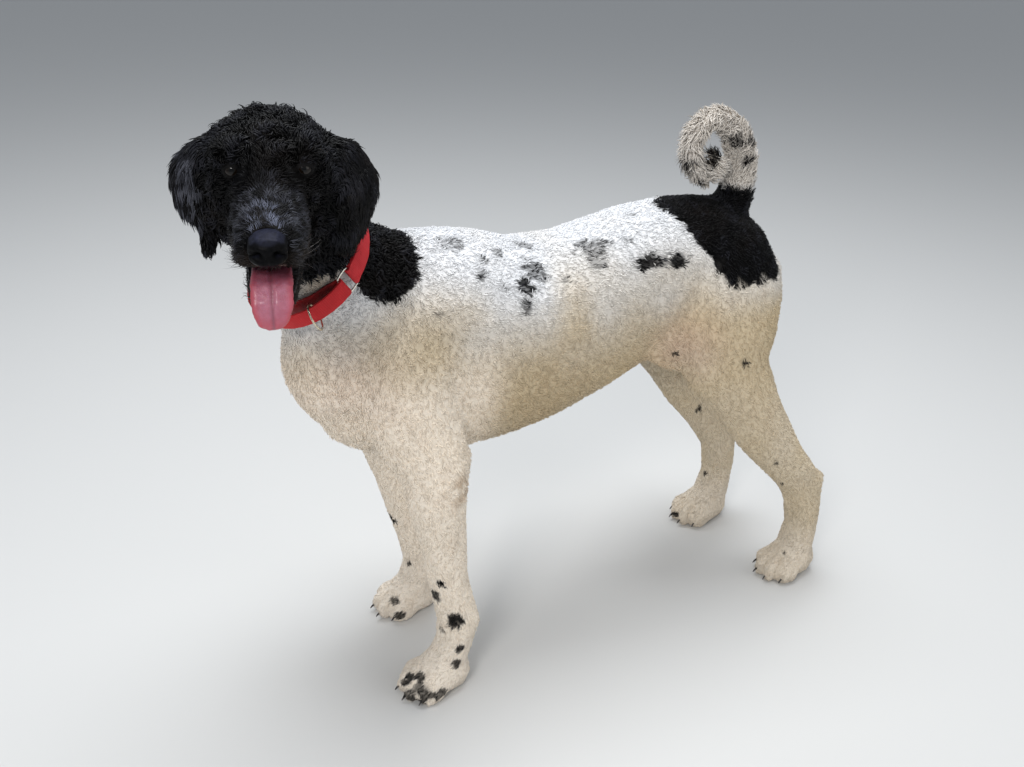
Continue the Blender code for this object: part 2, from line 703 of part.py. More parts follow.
# ---------------------------------------------------------------- the collar
def collar_matrix():
    """The collar's frame: X to the dog's right, Y up over the nape, Z back along the neck."""
    back = -NECK_AXIS
    across = Vector((0, 0, 1)).cross(back).normalized()
    upward = back.cross(across)
    return Matrix.Translation(COLLAR_CENTRE) @ Matrix((across, upward, back)).transposed().to_4x4()


def oval_point(angle, inset=0.0, slack=0.0):
    """A place on the collar's oval, drawn in by the inset, and by the slack at the throat."""
    reach = COLLAR_NAPE if math.sin(angle) > 0 else COLLAR_THROAT
    drawn = inset + slack * max(0.0, -math.sin(angle)) ** 0.8
    return Vector(((COLLAR_HALF_WIDTH - drawn) * math.cos(angle),
                   (reach - drawn) * math.sin(angle), 0.0))


def arc_points(centre, radius, start, sweep, steps=5):
    return [centre + Vector((math.cos(start + sweep * k / steps),
                             math.sin(start + sweep * k / steps), 0.0)) * radius
            for k in range(steps + 1)]


def spread(start, stop, steps):
    return [start + (stop - start) * k / steps for k in range(steps + 1)]


def strap_outlines():
    """The main strap over the nape, folded and sewn back round the slide at each end."""
    ends = (RIGHT_SLIDE + SLIDE_HALF_LENGTH - 2 * math.pi, LEFT_SLIDE - SLIDE_HALF_LENGTH)
    knuckle = EYELET + WEBBING
    reach = knuckle / COLLAR_HALF_WIDTH
    angles = spread(ends[0] + reach, ends[1] - reach, 26)

    def half(angle):
        from_end = min(angle - ends[0], ends[1] - angle)
        return WEBBING / 2 if from_end > FOLD_REACH else WEBBING

    outer = [oval_point(a, -half(a)) for a in angles]
    inner = [oval_point(a, half(a)) for a in reversed(angles)]
    left, right = oval_point(ends[1]), oval_point(ends[0])
    turn = math.pi - 2 * FOLD_MOUTH
    outline = (outer + arc_points(left, knuckle, ends[1] + FOLD_MOUTH, turn)
               + inner + arc_points(right, knuckle, ends[0] + math.pi + FOLD_MOUTH, turn))
    eyelets = [arc_points(place, EYELET, 0.0, 2 * math.pi * 7 / 8, 7)
               for place in (left, right)]
    return [outline] + eyelets


def loop_outlines():
    """The slack control loop under the throat, a closed band round both slides."""
    start = LEFT_SLIDE + SLIDE_HALF_LENGTH
    stop = RIGHT_SLIDE - SLIDE_HALF_LENGTH
    angles = spread(start, stop, 16)
    left, right = oval_point(start), oval_point(stop)

    def contour(away):
        outer = [oval_point(a, -away) for a in angles[1:-1]]
        inner = [oval_point(a, away, LOOP_SLACK) for a in reversed(angles[1:-1])]
        return (outer + arc_points(right, away, stop, math.pi)
                + inner + arc_points(left, away, start + math.pi, math.pi))

    return [contour(EYELET + WEBBING), contour(EYELET)]


def extruded(name, outlines, parts):
    """A filled flat outline with holes, as deep as the webbing is wide."""
    data = bpy.data.curves.new(name, "CURVE")
    data.dimensions = "2D"
    data.fill_mode = "BOTH"
    data.extrude = COLLAR_WIDTH / 2
    for outline in outlines:
        spline = data.splines.new("POLY")
        spline.points.add(len(outline) - 1)
        for point, place in zip(spline.points, outline):
            point.co = (place.x, place.y, 0.0, 1.0)
        spline.use_cyclic_u = True
    return welded_from_curve(name, data, parts, "red_webbing")


def welded_from_curve(name, data, parts, finish):
    curve = add_object(name, data, parts)
    curve.matrix_world = collar_matrix()
    mesh = evaluated_mesh(curve, name)
    bpy.data.objects.remove(curve, do_unlink=True)
    bm = bmesh.new()
    bm.from_mesh(mesh)
    bmesh.ops.remove_doubles(bm, verts=bm.verts, dist=1e-5)
    bmesh.ops.recalc_face_normals(bm, faces=bm.faces)
    bm.to_mesh(mesh)
    bm.free()
    return add_object(name, mesh, parts, finish)


def build_slide(name, angle, parts):
    """A rounded oblong of wire, with one bar in the strap and one in the loop."""
    first, second = oval_point(angle - SLIDE_HALF_LENGTH), oval_point(angle + SLIDE_HALF_LENGTH)
    along = (second - first) / 2
    middle = (first + second) / 2
    half_long, half_wide = along.length, COLLAR_WIDTH / 2 + SLIDE_OVERHANG
    along.normalize()
    data = bpy.data.curves.new(name, "CURVE")
    data.dimensions = "3D"
    data.bevel_depth = SLIDE_WIRE
    data.bevel_resolution = 1
    spline = data.splines.new("POLY")
    outline = []
    for quarter, (sign_u, sign_v) in enumerate(((1, 1), (-1, 1), (-1, -1), (1, -1))):
        centre = Vector((sign_u * (half_long - SLIDE_CORNER),
                         sign_v * (half_wide - SLIDE_CORNER), 0.0))
        outline += arc_points(centre, SLIDE_CORNER, quarter * math.pi / 2, math.pi / 2, 2)
    spline.points.add(len(outline) - 1)
    for point, place in zip(spline.points, outline):
        point.co = (*(middle + along * place.x + Vector((0, 0, place.y))), 1.0)
    spline.use_cyclic_u = True
    return welded_from_curve(name, data, parts, "ring_metal")


def build_lead_ring(parts):
    """The ring a lead clips to, hung round the loop's outer layer."""
    outward = Vector((math.cos(LEAD_RING_ANGLE), math.sin(LEAD_RING_ANGLE), 0.0))
    centre = oval_point(LEAD_RING_ANGLE, -EYELET - WEBBING / 2) + outward * LEAD_RING_HANG
    turn = Matrix.Rotation(LEAD_RING_ANGLE, 4, "Z") @ Matrix.Rotation(math.pi / 2, 4, "X")
    bpy.ops.mesh.primitive_torus_add(major_radius=LEAD_RING_RADIUS, minor_radius=LEAD_RING_WIRE,
                                     major_segments=24, minor_segments=6)
    ring = bpy.context.object
    ring.name = "collar_lead_ring"
    ring.data.transform(collar_matrix() @ Matrix.Translation(centre) @ turn)
    ring.data.materials.append(material("ring_metal"))
    for owner in list(ring.users_collection):
        owner.objects.unlink(ring)
    parts.objects.link(ring)
    return ring


def build_collar(parts):
    return [extruded("collar_strap", strap_outlines(), parts),
            extruded("collar_loop", loop_outlines(), parts),
            build_slide("collar_slide_left", LEFT_SLIDE, parts),
            build_slide("collar_slide_right", RIGHT_SLIDE, parts),
            build_lead_ring(parts)]


# ---------------------------------------------------------------- assembly
def eye_socket(side):
    """The hollow between the brow and the cheek that the eye looks out of."""
    bm = bmesh.new()
    middle = Vector((-0.014, side * EYE_SPACING / 2, EYE_LIFT - 0.0005))
    matrix = (head_matrix() @ Matrix.Translation(middle)
              @ Matrix.Diagonal((*SOCKET_RADII, 1)))
    bmesh.ops.create_uvsphere(bm, u_segments=12, v_segments=6, radius=1.0, matrix=matrix)
    return add_cutter("socket", mesh_from(bm, "socket"))


def thin_out(obj):
    """Takes out the edges that the cuts drew across faces that are all but flat."""
    bm = bmesh.new()
    bm.from_mesh(obj.data)
    bmesh.ops.dissolve_limit(bm, angle_limit=FLATNESS, verts=bm.verts,
                             edges=bm.edges, use_dissolve_boundaries=False)
    bmesh.ops.triangulate(bm, faces=bm.faces)
    bm.to_mesh(obj.data)
    bm.free()


def stand_on_origin(parts):
    """Moves everything so that the box round the dog is centred over the origin, on z = 0."""
    corners = np.vstack([np.array([v.co for v in obj.data.vertices]) for obj in parts.objects])
    low, high = corners.min(axis=0), corners.max(axis=0)
    shift = Vector((-(low[0] + high[0]) / 2, -(low[1] + high[1]) / 2, -low[2]))
    for obj in parts.objects:
        thin_out(obj)
        obj.data.transform(Matrix.Translation(shift))
        obj.data.shade_smooth()
        obj.data.set_sharp_from_angle(angle=SHARP_EDGE)


def main():
    clear_scene()
    parts = new_collection("standard_poodle")
    new_collection("cutters")
    body = fused(body_form(), "body", BODY_VOXEL, BODY_ROUNDS, BODY_TRIANGLES, body_softness)
    cut_flat(body)
    part_body(body, parts)
    jaw = fused(jaw_form(), "lower_jaw", JAW_VOXEL, JAW_ROUNDS, JAW_TRIANGLES)
    bpy.context.scene.collection.objects.unlink(jaw)
    parts.objects.link(jaw)
    jaw.data.materials.append(material("black_coat"))

    head, neck, trunk = (parts.objects[name] for name in ("head", "neck", "trunk"))
    tongue, nose = build_tongue(parts), build_nose(parts)
    for target, tool in ((head, jaw), (neck, jaw), (jaw, tongue), (head, tongue), (head, nose)):
        carve(target, tool)
    for side in (-1, 1):
        socket = eye_socket(side)
        carve(head, socket, 0.0)
        bpy.data.objects.remove(socket, do_unlink=True)
        carve(head, build_eye(side, parts))
    collar = build_collar(parts)
    for side in (-1, 1):
        ear = build_ear(side, parts)
        for tool in collar:
            carve(ear, tool)
        for target in (head, neck, jaw):
            carve(target, ear, EAR_GAP)
    for tool in collar:
        for target in (neck, head, trunk):
            carve(target, tool)
    for name, foot in FOOT.items():
        end, side = name.split("_")
        paw = parts.objects[f"{end}paw_{side}"]
        for claw in claw_objects(name, foot, parts):
            carve(paw, claw)
    stand_on_origin(parts)


main()
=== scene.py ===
import itertools
import json
import math

import bmesh
import bpy
import numpy as np
from mathutils import Matrix, Vector
from mathutils.bvhtree import BVHTree


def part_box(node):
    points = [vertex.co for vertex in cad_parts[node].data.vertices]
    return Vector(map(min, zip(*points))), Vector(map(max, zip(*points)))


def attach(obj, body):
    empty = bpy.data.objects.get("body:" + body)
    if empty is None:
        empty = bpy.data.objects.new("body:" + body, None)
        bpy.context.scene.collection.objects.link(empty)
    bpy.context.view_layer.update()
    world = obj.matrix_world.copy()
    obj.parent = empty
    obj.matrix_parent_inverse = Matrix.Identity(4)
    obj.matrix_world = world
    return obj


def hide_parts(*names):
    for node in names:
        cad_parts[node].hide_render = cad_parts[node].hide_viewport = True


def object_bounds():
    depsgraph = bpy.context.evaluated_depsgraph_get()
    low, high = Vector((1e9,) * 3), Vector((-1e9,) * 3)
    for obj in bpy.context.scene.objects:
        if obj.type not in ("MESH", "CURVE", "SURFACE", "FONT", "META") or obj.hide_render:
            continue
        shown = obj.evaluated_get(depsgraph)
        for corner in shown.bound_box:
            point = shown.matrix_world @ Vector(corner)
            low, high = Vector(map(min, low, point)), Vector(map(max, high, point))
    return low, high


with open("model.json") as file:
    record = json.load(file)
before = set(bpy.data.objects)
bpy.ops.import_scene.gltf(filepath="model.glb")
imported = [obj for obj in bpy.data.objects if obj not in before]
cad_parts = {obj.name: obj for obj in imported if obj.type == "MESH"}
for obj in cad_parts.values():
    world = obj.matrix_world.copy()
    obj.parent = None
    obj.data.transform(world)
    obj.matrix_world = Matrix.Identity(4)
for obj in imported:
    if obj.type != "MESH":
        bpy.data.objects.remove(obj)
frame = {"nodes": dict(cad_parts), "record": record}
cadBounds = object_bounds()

rng = np.random.default_rng(41)
scene = bpy.context.scene


# places and directions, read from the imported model

def middleOf(node):
    low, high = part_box(node)
    return (Vector(low) + Vector(high)) / 2


boxMiddle = sum((Vector(corner) for corner in cadBounds), Vector()) / 2
eyePlaces = {side: middleOf("eye_" + side) for side in ("left", "right")}
eyeMiddle = (eyePlaces["left"] + eyePlaces["right"]) / 2
eyeRadius = (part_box("eye_left")[1][2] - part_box("eye_left")[0][2]) / 2
slotNodes = {}
for part in frame["record"]["subparts"]:
    slotNodes.setdefault(part["material_slot"], []).append(part["node"])
fleshNodes = slotNodes["black_coat"] + slotNodes["white_coat"]
noseDrop = math.radians(22.8)  # the nose lies this far under the line of sight


def headTurn():  # its columns run back from the face, to the dog's right, and up
    across = (eyePlaces["right"] - eyePlaces["left"]).normalized()
    toNose = middleOf("nose") - eyeMiddle
    toNose -= across * toNose.dot(across)
    ahead = Matrix.Rotation(noseDrop, 3, across) @ toNose.normalized()
    return Matrix((-ahead, across, across.cross(ahead))).transposed()


headAxes = headTurn()
headPlace = Matrix.Translation(eyeMiddle) @ headAxes.to_4x4()
# each eye sits this far from its solid, counted to the dog's right, which is nearer to the middle
eyeSeat = {"left": 0.0015, "right": -0.0032}
for eyeSide, seat in eyeSeat.items():
    eyePlaces[eyeSide] = eyePlaces[eyeSide] + headAxes.col[1] * seat
neckLine = Vector((-0.585, -0.293, 0.756)).normalized()  # up the neck, through the collar


def collarFrame():  # x to the dog's right, y up over the nape, z back down the neck
    back = -neckLine
    across = Vector((0, 0, 1)).cross(back).normalized()
    turn = Matrix((across, back.cross(across), back)).transposed()
    points = np.array([v.co for v in frame["nodes"]["collar_strap"].data.vertices])
    local = points @ np.array(turn)
    return Matrix.Translation(turn @ Vector((local.min(axis=0) + local.max(axis=0)) / 2)) @ turn.to_4x4()


collarPlace = collarFrame()


# small tools for meshes and arrays

def newObject(name, mesh, finish=None):
    made = bpy.data.objects.new(name, mesh)
    scene.collection.objects.link(made)
    if finish:
        mesh.materials.append(finish)
    return made


def meshFrom(bm, name):
    mesh = bpy.data.meshes.new(name)
    bm.to_mesh(mesh)
    bm.free()
    return mesh


def nodeCopy(node):  # its loose triangles are joined first
    bm = bmesh.new()
    bm.from_mesh(frame["nodes"][node].data)
    bmesh.ops.remove_doubles(bm, verts=bm.verts, dist=1e-5)
    bm.normal_update()
    return bm


def bakeModifiers(obj):
    graph = bpy.context.evaluated_depsgraph_get()
    mesh = bpy.data.meshes.new_from_object(obj.evaluated_get(graph))
    obj.modifiers.clear()
    obj.data = mesh


def remeshed(name, mesh, voxel):
    obj = newObject(name, mesh)
    step = obj.modifiers.new("even", "REMESH")
    step.mode = "VOXEL"
    step.voxel_size = voxel
    bakeModifiers(obj)
    return obj


def smoothOnce(obj):
    step = obj.modifiers.new("smooth", "SUBSURF")
    step.levels = step.render_levels = 1
    obj.data.shade_smooth()


def cornersOf(mesh):
    found = np.empty(len(mesh.vertices) * 3)
    mesh.vertices.foreach_get("co", found)
    return found.reshape(-1, 3)


def normalsOf(mesh):
    found = np.empty(len(mesh.vertices) * 3)
    mesh.vertices.foreach_get("normal", found)
    return found.reshape(-1, 3)


def setCorners(mesh, points):
    mesh.vertices.foreach_set("co", np.asarray(points, float).ravel())
    mesh.update()


def neighbourTable(mesh):
    pairs = np.empty(len(mesh.edges) * 2, int)
    mesh.edges.foreach_get("vertices", pairs)
    pairs = pairs.reshape(-1, 2)
    both = np.vstack([pairs, pairs[:, ::-1]])
    both = both[np.argsort(both[:, 0], kind="stable")]
    starts = np.searchsorted(both[:, 0], np.arange(len(mesh.vertices)))
    counts = np.bincount(both[:, 0], minlength=len(mesh.vertices))
    return both[:, 1], starts, counts


def averaged(values, table, rounds=1, share=1.0):
    near, starts, counts = table
    for _ in range(rounds):
        mean = (np.add.reduceat(values[near], starts, axis=0).T / counts).T
        values = values + (mean - values) * share
    return values


def unit(vectors):
    return vectors / np.maximum(np.linalg.norm(vectors, axis=-1, keepdims=True), 1e-12)


def ramp(value, start, stop):  # eases from 0 at start to 1 at stop
    t = np.clip((value - start) / (stop - start), 0, 1)
    return t * t * (3 - 2 * t)


def noiseAt(points, cell, seed):  # smooth random numbers from -1 to 1
    scaled = points / cell + 1000.0
    base = np.floor(scaled).astype(np.int64)
    share = scaled - base
    share = share * share * (3 - 2 * share)
    total = np.zeros(len(points))
    for corner in itertools.product((0, 1), repeat=3):
        x, y, z = (base + corner).T
        mixed = (x * 73856093) ^ (y * 19349663) ^ (z * 83492791) ^ (seed * 668265263)
        mixed = (mixed * 1274126177) & 0xffffffff
        mixed = ((mixed ^ (mixed >> 15)) * 2246822519) & 0xffffffff
        weight = np.prod(np.where(corner, share, 1 - share), axis=1)
        total += (((mixed >> 8) & 0xffff) / 32767.5 - 1) * weight
    return total


def treeOf(*nodes):
    corners, faces, owners = [], [], []
    for node in nodes:
        mesh = frame["nodes"][node].data
        start = len(corners)
        corners += [v.co[:] for v in mesh.vertices]
        faces += [[start + i for i in p.vertices] for p in mesh.polygons]
        owners += [node] * len(mesh.polygons)
    return BVHTree.FromPolygons(corners, faces), owners


def distanceTo(points, *nodes, reach=0.05):
    tree, _ = treeOf(*nodes)
    found = np.full(len(points), reach)
    for i, point in enumerate(points):
        hit = tree.find_nearest(point, reach)
        if hit[0] is not None:
            found[i] = hit[3]
    return found


def inHead(points):  # the same points in the head's own frame
    return (points - np.array(eyeMiddle)) @ np.array(headAxes)


def inCollar(points):
    turn = np.array(collarPlace.to_3x3())
    return (points - np.array(collarPlace.translation)) @ turn


print("frame read:", len(fleshNodes), "flesh nodes")


# camera, at the height and turn from which the dog is seen three quarters on

viewing = {"aim": (-0.0514, 0.0281, -0.0025), "distance": 1.4089,  # aim is counted from the box's middle
           "yaw": 29.8, "pitch": 26.2, "roll": 1.6, "lens": 36.9}


def addCamera():
    data = bpy.data.cameras.new("camera")
    data.lens = viewing["lens"]
    data.sensor_width = 36
    camera = bpy.data.objects.new("camera", data)
    scene.collection.objects.link(camera)
    yaw, pitch, roll = (math.radians(viewing[k]) for k in ("yaw", "pitch", "roll"))
    turn = Matrix.Rotation(-yaw, 4, "Z") @ Matrix.Rotation(math.pi / 2 - pitch, 4, "X")
    place = boxMiddle + Vector(viewing["aim"]) + turn.col[2].xyz * viewing["distance"]
    camera.matrix_world = Matrix.Translation(place) @ turn @ Matrix.Rotation(roll, 4, "Z")
    scene.camera = camera


addCamera()


# floor and lights

studio = {"floor": (0.62, 0.62, 0.61), "floorHalf": 9.0, "floorRoughness": 0.85,
          "sky": (0.86, 0.92, 1.0), "skyStrength": 0.40}
# place, size, power and colour
lights = {"top": ((0.10, 0.35, 2.9), 1.8, 78, (0.96, 0.98, 1.0)),
          "key": ((-2.0, -1.8, 2.1), 0.75, 37, (1.0, 0.97, 0.94)),
          "fill": ((1.6, -2.6, 1.2), 2.0, 16, (1.0, 0.96, 0.91))}


def addStudio():
    bm = bmesh.new()
    bmesh.ops.create_grid(bm, x_segments=1, y_segments=1, size=studio["floorHalf"])
    finish = bpy.data.materials.new("paleFloor")
    finish.use_nodes = True
    shader = finish.node_tree.nodes["Principled BSDF"]
    shader.inputs["Base Color"].default_value = (*studio["floor"], 1)
    shader.inputs["Roughness"].default_value = studio["floorRoughness"]
    newObject("floor", meshFrom(bm, "floor"), finish)
    for name, (place, size, power, colour) in lights.items():
        data = bpy.data.lights.new(name, "AREA")
        data.size = size
        data.energy = power
        data.color = colour
        light = bpy.data.objects.new(name, data)
        scene.collection.objects.link(light)
        light.location = place
        light.rotation_euler = (boxMiddle - Vector(place)).to_track_quat("-Z", "Y").to_euler()
    world = bpy.data.worlds.new("studio")
    world.use_nodes = True
    back = world.node_tree.nodes["Background"]
    back.inputs["Color"].default_value = (*studio["sky"], 1)
    back.inputs["Strength"].default_value = studio["skyStrength"]
    scene.world = world
    scene.view_settings.view_transform = "Standard"


addStudio()
print("camera and studio")


# markings: how far each point lies inside the black, in metres, and how mottled it is

neckPatch = {"place": (-0.244, 0.622), "radius": 0.052, "seam": -0.003, "nape": 0.010,
             "throat": 0.009, "throatTop": 0.022, "throatSlope": 0.40}
rumpPatch = {"front": 0.181, "frontTop": 0.605, "slope": 0.77, "frontScale": 0.79, "bottom": 0.509,
             "tailTop": 0.617, "tailFront": 0.235, "tailFoot": 0.63, "halfWide": 0.035, "hip": 0.530,
             "rim": 0.347, "rimSlope": 0.9, "farSmaller": 0.024}
# of every edge: how ragged it is, coarse and fine, and half the width over which it turns black
inkEdge = {"coarse": 0.0045, "fine": 0.0022, "soft": 0.0012}
spine = 0.056  # the spine's place across the dog
# place, reach along the back and down the side, and how mottled: 0 is solid black
spots = {
    "shoulderFleck": ((-0.146, 0.022, 0.610), 0.016, 0.007, 0.75),
    "withersFleck": ((-0.181, 0.031, 0.617), 0.008, 0.006, 0.85),
    "backFleckLow": ((-0.114, -0.005, 0.594), 0.007, 0.007, 0.6),
    "backFleckHigh": ((-0.087, 0.006, 0.595), 0.008, 0.008, 0.7),
    "spineFleck": ((-0.037, 0.038, 0.590), 0.012, 0.008, 0.7),
    "sideFleck": ((-0.124, -0.019, 0.580), 0.006, 0.007, 0.5),
    "sidePatch": ((-0.048, -0.012, 0.571), 0.017, 0.014, 0.45),
    "sidePatchLow": ((-0.067, -0.027, 0.559), 0.011, 0.008, 0.1),
    "sideDrop": ((-0.072, -0.039, 0.539), 0.006, 0.010, 0.35),
    "sidePoint": ((-0.097, -0.029, 0.563), 0.003, 0.004, 0.5),
    "flankPoint": ((-0.005, -0.023, 0.556), 0.004, 0.006, 0.7),
    "loinPatch": ((0.050, 0.002, 0.578), 0.020, 0.017, 0.6),
    "loinFleck": ((0.105, 0.002, 0.585), 0.008, 0.006, 0.75),
    "loinTop": ((0.129, 0.038, 0.608), 0.008, 0.006, 0.8),
    "hipSpot": ((0.125, -0.022, 0.557), 0.019, 0.009, 0.08),
    "hipSpotBack": ((0.169, -0.025, 0.556), 0.010, 0.008, 0.05),
    "shoulderPoint": ((-0.189, -0.035, 0.547), 0.005, 0.004, 0.7),
    "armPoint": ((-0.185, -0.059, 0.408), 0.003, 0.003, 0.4),
    "thighPoint": ((0.272, -0.069, 0.403), 0.0055, 0.005, 0.0),
    "farShankPoint": ((0.340, 0.096, 0.238), 0.004, 0.006, 0.2),
    "bellyPoint": ((0.145, -0.017, 0.419), 0.003, 0.003, 0.2),
    "foldPoint": ((0.178, -0.025, 0.417), 0.004, 0.003, 0.2),
    "tailTop": ((0.304, 0.037, 0.690), 0.009, 0.011, 0.35),
    "tailBack": ((0.324, 0.033, 0.682), 0.009, 0.009, 0.40),
    "tailLow": ((0.321, 0.033, 0.657), 0.011, 0.009, 0.40),
    "tailCoil": ((0.222, 0.043, 0.663), 0.008, 0.012, 0.45),
    "tailUnder": ((0.244, 0.036, 0.641), 0.009, 0.008, 0.40),
    "tailTip": ((0.262, 0.040, 0.662), 0.010, 0.008, 0.3),
    "tailInside": ((0.258, 0.050, 0.677), 0.014, 0.012, 0.15),
    "foreLeftHigh": ((-0.206, -0.070, 0.186), 0.005, 0.005, 0.0),
    "foreLeftStreak": ((-0.209, -0.060, 0.159), 0.005, 0.010, 0.25),
    "foreLeftPatch": ((-0.186, -0.076, 0.121), 0.012, 0.010, 0.05),
    "foreLeftFaint": ((-0.200, -0.055, 0.100), 0.005, 0.005, 0.5),
    "foreLeftWrist": ((-0.180, -0.076, 0.074), 0.005, 0.005, 0.15),
    "foreLeftPastern": ((-0.185, -0.079, 0.052), 0.005, 0.006, 0.15),
    "foreLeftBandTip": ((-0.251, -0.048, 0.022), 0.007, 0.005, 0.15),
    "foreLeftBand": ((-0.243, -0.053, 0.029), 0.008, 0.005, 0.15),
    "foreLeftBandTop": ((-0.233, -0.059, 0.037), 0.007, 0.006, 0.2),
    "foreLeftToe": ((-0.252, -0.067, 0.017), 0.008, 0.006, 0.3),
    "foreLeftToes": ((-0.232, -0.084, 0.021), 0.013, 0.007, 0.2),
    "foreLeftUnder": ((-0.243, -0.076, 0.009), 0.013, 0.006, 0.25),
    "foreLeftBetween": ((-0.238, -0.070, 0.028), 0.007, 0.004, 0.4),
    "foreLeftOuterToe": ((-0.212, -0.088, 0.018), 0.012, 0.008, 0.3),
    "foreRightHigh": ((-0.192, 0.124, 0.167), 0.006, 0.007, 0.0),
    "foreRightLow": ((-0.170, 0.115, 0.086), 0.004, 0.005, 0.2),
    "foreRightInstep": ((-0.196, 0.110, 0.032), 0.006, 0.005, 0.3),
    "foreRightToe": ((-0.196, 0.092, 0.017), 0.009, 0.006, 0.2),
    "hindLeftShank": ((0.340, -0.088, 0.232), 0.003, 0.004, 0.3),
    "hindLeftHock": ((0.366, -0.082, 0.183), 0.003, 0.004, 0.3),
    "hindLeftInstep": ((0.398, -0.079, 0.045), 0.003, 0.003, 0.3),
    "hindRightHock": ((0.390, 0.119, 0.089), 0.004, 0.004, 0.2),
    "hindRightToe": ((0.345, 0.130, 0.014), 0.007, 0.005, 0.2),
}
# made up for the dog's right side, in the same style
farSpots = {"number": 26, "along": (-0.17, 0.17), "height": (0.50, 0.60), "out": 0.075,
            "sizes": [0.004, 0.006, 0.009, 0.014], "stretch": (0.9, 1.4), "mottled": (0, 0.8)}


def farSideSpots():
    made = []
    for _ in range(farSpots["number"]):
        along = rng.uniform(*farSpots["along"])
        height = rng.uniform(*farSpots["height"])
        size = rng.choice(farSpots["sizes"])
        stretched = size * rng.uniform(*farSpots["stretch"])
        place = (along, spine + farSpots["out"], height)
        made.append((place, stretched, size, rng.uniform(*farSpots["mottled"])))
    return made


allSpots = list(spots.values()) + farSideSpots()


def blackHead(points):
    _, up, back = inCollar(points).T
    ahead = -back
    throat = neckPatch["throatSlope"] * np.maximum(0, -up - neckPatch["throatTop"])
    onHead = ahead - neckPatch["throat"] - throat
    x, _, z = points.T
    cx, cz = neckPatch["place"]
    patch = neckPatch["radius"] - np.hypot(x - cx, z - cz)
    nape = np.minimum(up - neckPatch["seam"], cx + neckPatch["nape"] - x)
    return np.maximum(np.maximum(onHead, patch), nape)


def blackRump(points):
    x, y, z = points.T
    out = np.abs(y - spine)
    far = ramp(y, spine, spine + 0.03) * rumpPatch["farSmaller"]  # the right side's patch is smaller
    front = x - rumpPatch["front"] - far - rumpPatch["slope"] * (rumpPatch["frontTop"] - z)
    front = front * rumpPatch["frontScale"]  # as far from the slanted edge as it measures square to it
    under = z - rumpPatch["bottom"] - far
    behind = out - rumpPatch["halfWide"] + (z - rumpPatch["hip"])
    beforeTail = (x < rumpPatch["tailFront"]) & (z < rumpPatch["tailFoot"])
    onTail = rumpPatch["tailTop"] - z + beforeTail
    rim = rumpPatch["rim"] - x + rumpPatch["rimSlope"] * np.maximum(0, z - rumpPatch["hip"])
    return np.minimum.reduce([front, under, behind, rim, onTail])


def inkAt(points, jitter=1.0):
    coarse = inkEdge["coarse"] * noiseAt(points, 0.011, 3)
    fine = inkEdge["fine"] * noiseAt(points, 0.004, 4)
    ragged = (coarse + fine) * jitter
    inside = np.maximum(blackHead(points), blackRump(points)) + ragged
    ink = ramp(inside, -inkEdge["soft"], inkEdge["soft"])
    mottle = ramp(noiseAt(points, 0.0042, 5) + 0.35 * noiseAt(points, 0.010, 6), -0.25, 0.15)
    for place, along, down, mottled in allSpots:
        offset = (points - np.array(place)) / (along, max(along, down), down)
        near = np.einsum("ij,ij->i", offset, offset) < 9
        depth = 1.25 - np.linalg.norm(offset[near], axis=1) + 130 * ragged[near]
        spot = ramp(depth, -0.1, 0.35) * (1 - mottled + mottled * mottle[near])
        ink[near] = np.maximum(ink[near], np.minimum(spot, 1 - 0.65 * mottled))
    return ink


# colours of the hair, by place

hair = {"black": (0.0035, 0.0035, 0.0042), "brownBlack": (0.0075, 0.0060, 0.0055),
        "highlight": (0.095, 0.099, 0.122), "umber": (0.026, 0.020, 0.016), "skySheen": (0.19, 0.21, 0.29),
        "sheen": (0.024, 0.025, 0.033), "white": (0.80, 0.81, 0.83), "cream": (0.66, 0.54, 0.36),
        "ivory": (0.82, 0.74, 0.64), "tan": (0.42, 0.27, 0.14), "throat": (0.50, 0.37, 0.20),
        "pink": (0.74, 0.52, 0.46)}
hair = {name: np.array(colour) for name, colour in hair.items()}


# places in a side view, along and up: where, how far they reach, and how strongly they show; those on the arm
# and under the body are painted shade
tintsAndShades = {"arm": ((-0.205, 0.520), 0.050, 0.75), "under": ((-0.040, 0.385), 0.075, 0.35),
          "elbow": ((-0.175, 0.325), 0.030, 0.55), "groin": ((0.185, 0.43), 0.045, 0.34),
          "breast": ((-0.30, 0.47), 0.05, 0.16), "throat": ((-0.338, 0.612), 0.030, 0.60)}
curlCell = {"head": 0.0105, "body": 0.0075}


def blend(first, second, share):
    return first + (second - first) * np.asarray(share)[:, None]


def tintAndShade(points, name):  # strongest at its place, falling away round it
    place, reach, strength = tintsAndShades[name]
    x, _, z = points.T
    return strength * np.exp(-((x - place[0]) ** 2 + (z - place[1]) ** 2) / reach ** 2)


def curlHeight(points, cell):  # hills in the coat, round which the hair swirls
    slanted = points @ np.array(Matrix.Rotation(0.7, 3, Vector((1, 2, 3)).normalized()))
    return noiseAt(slanted, cell, 61)


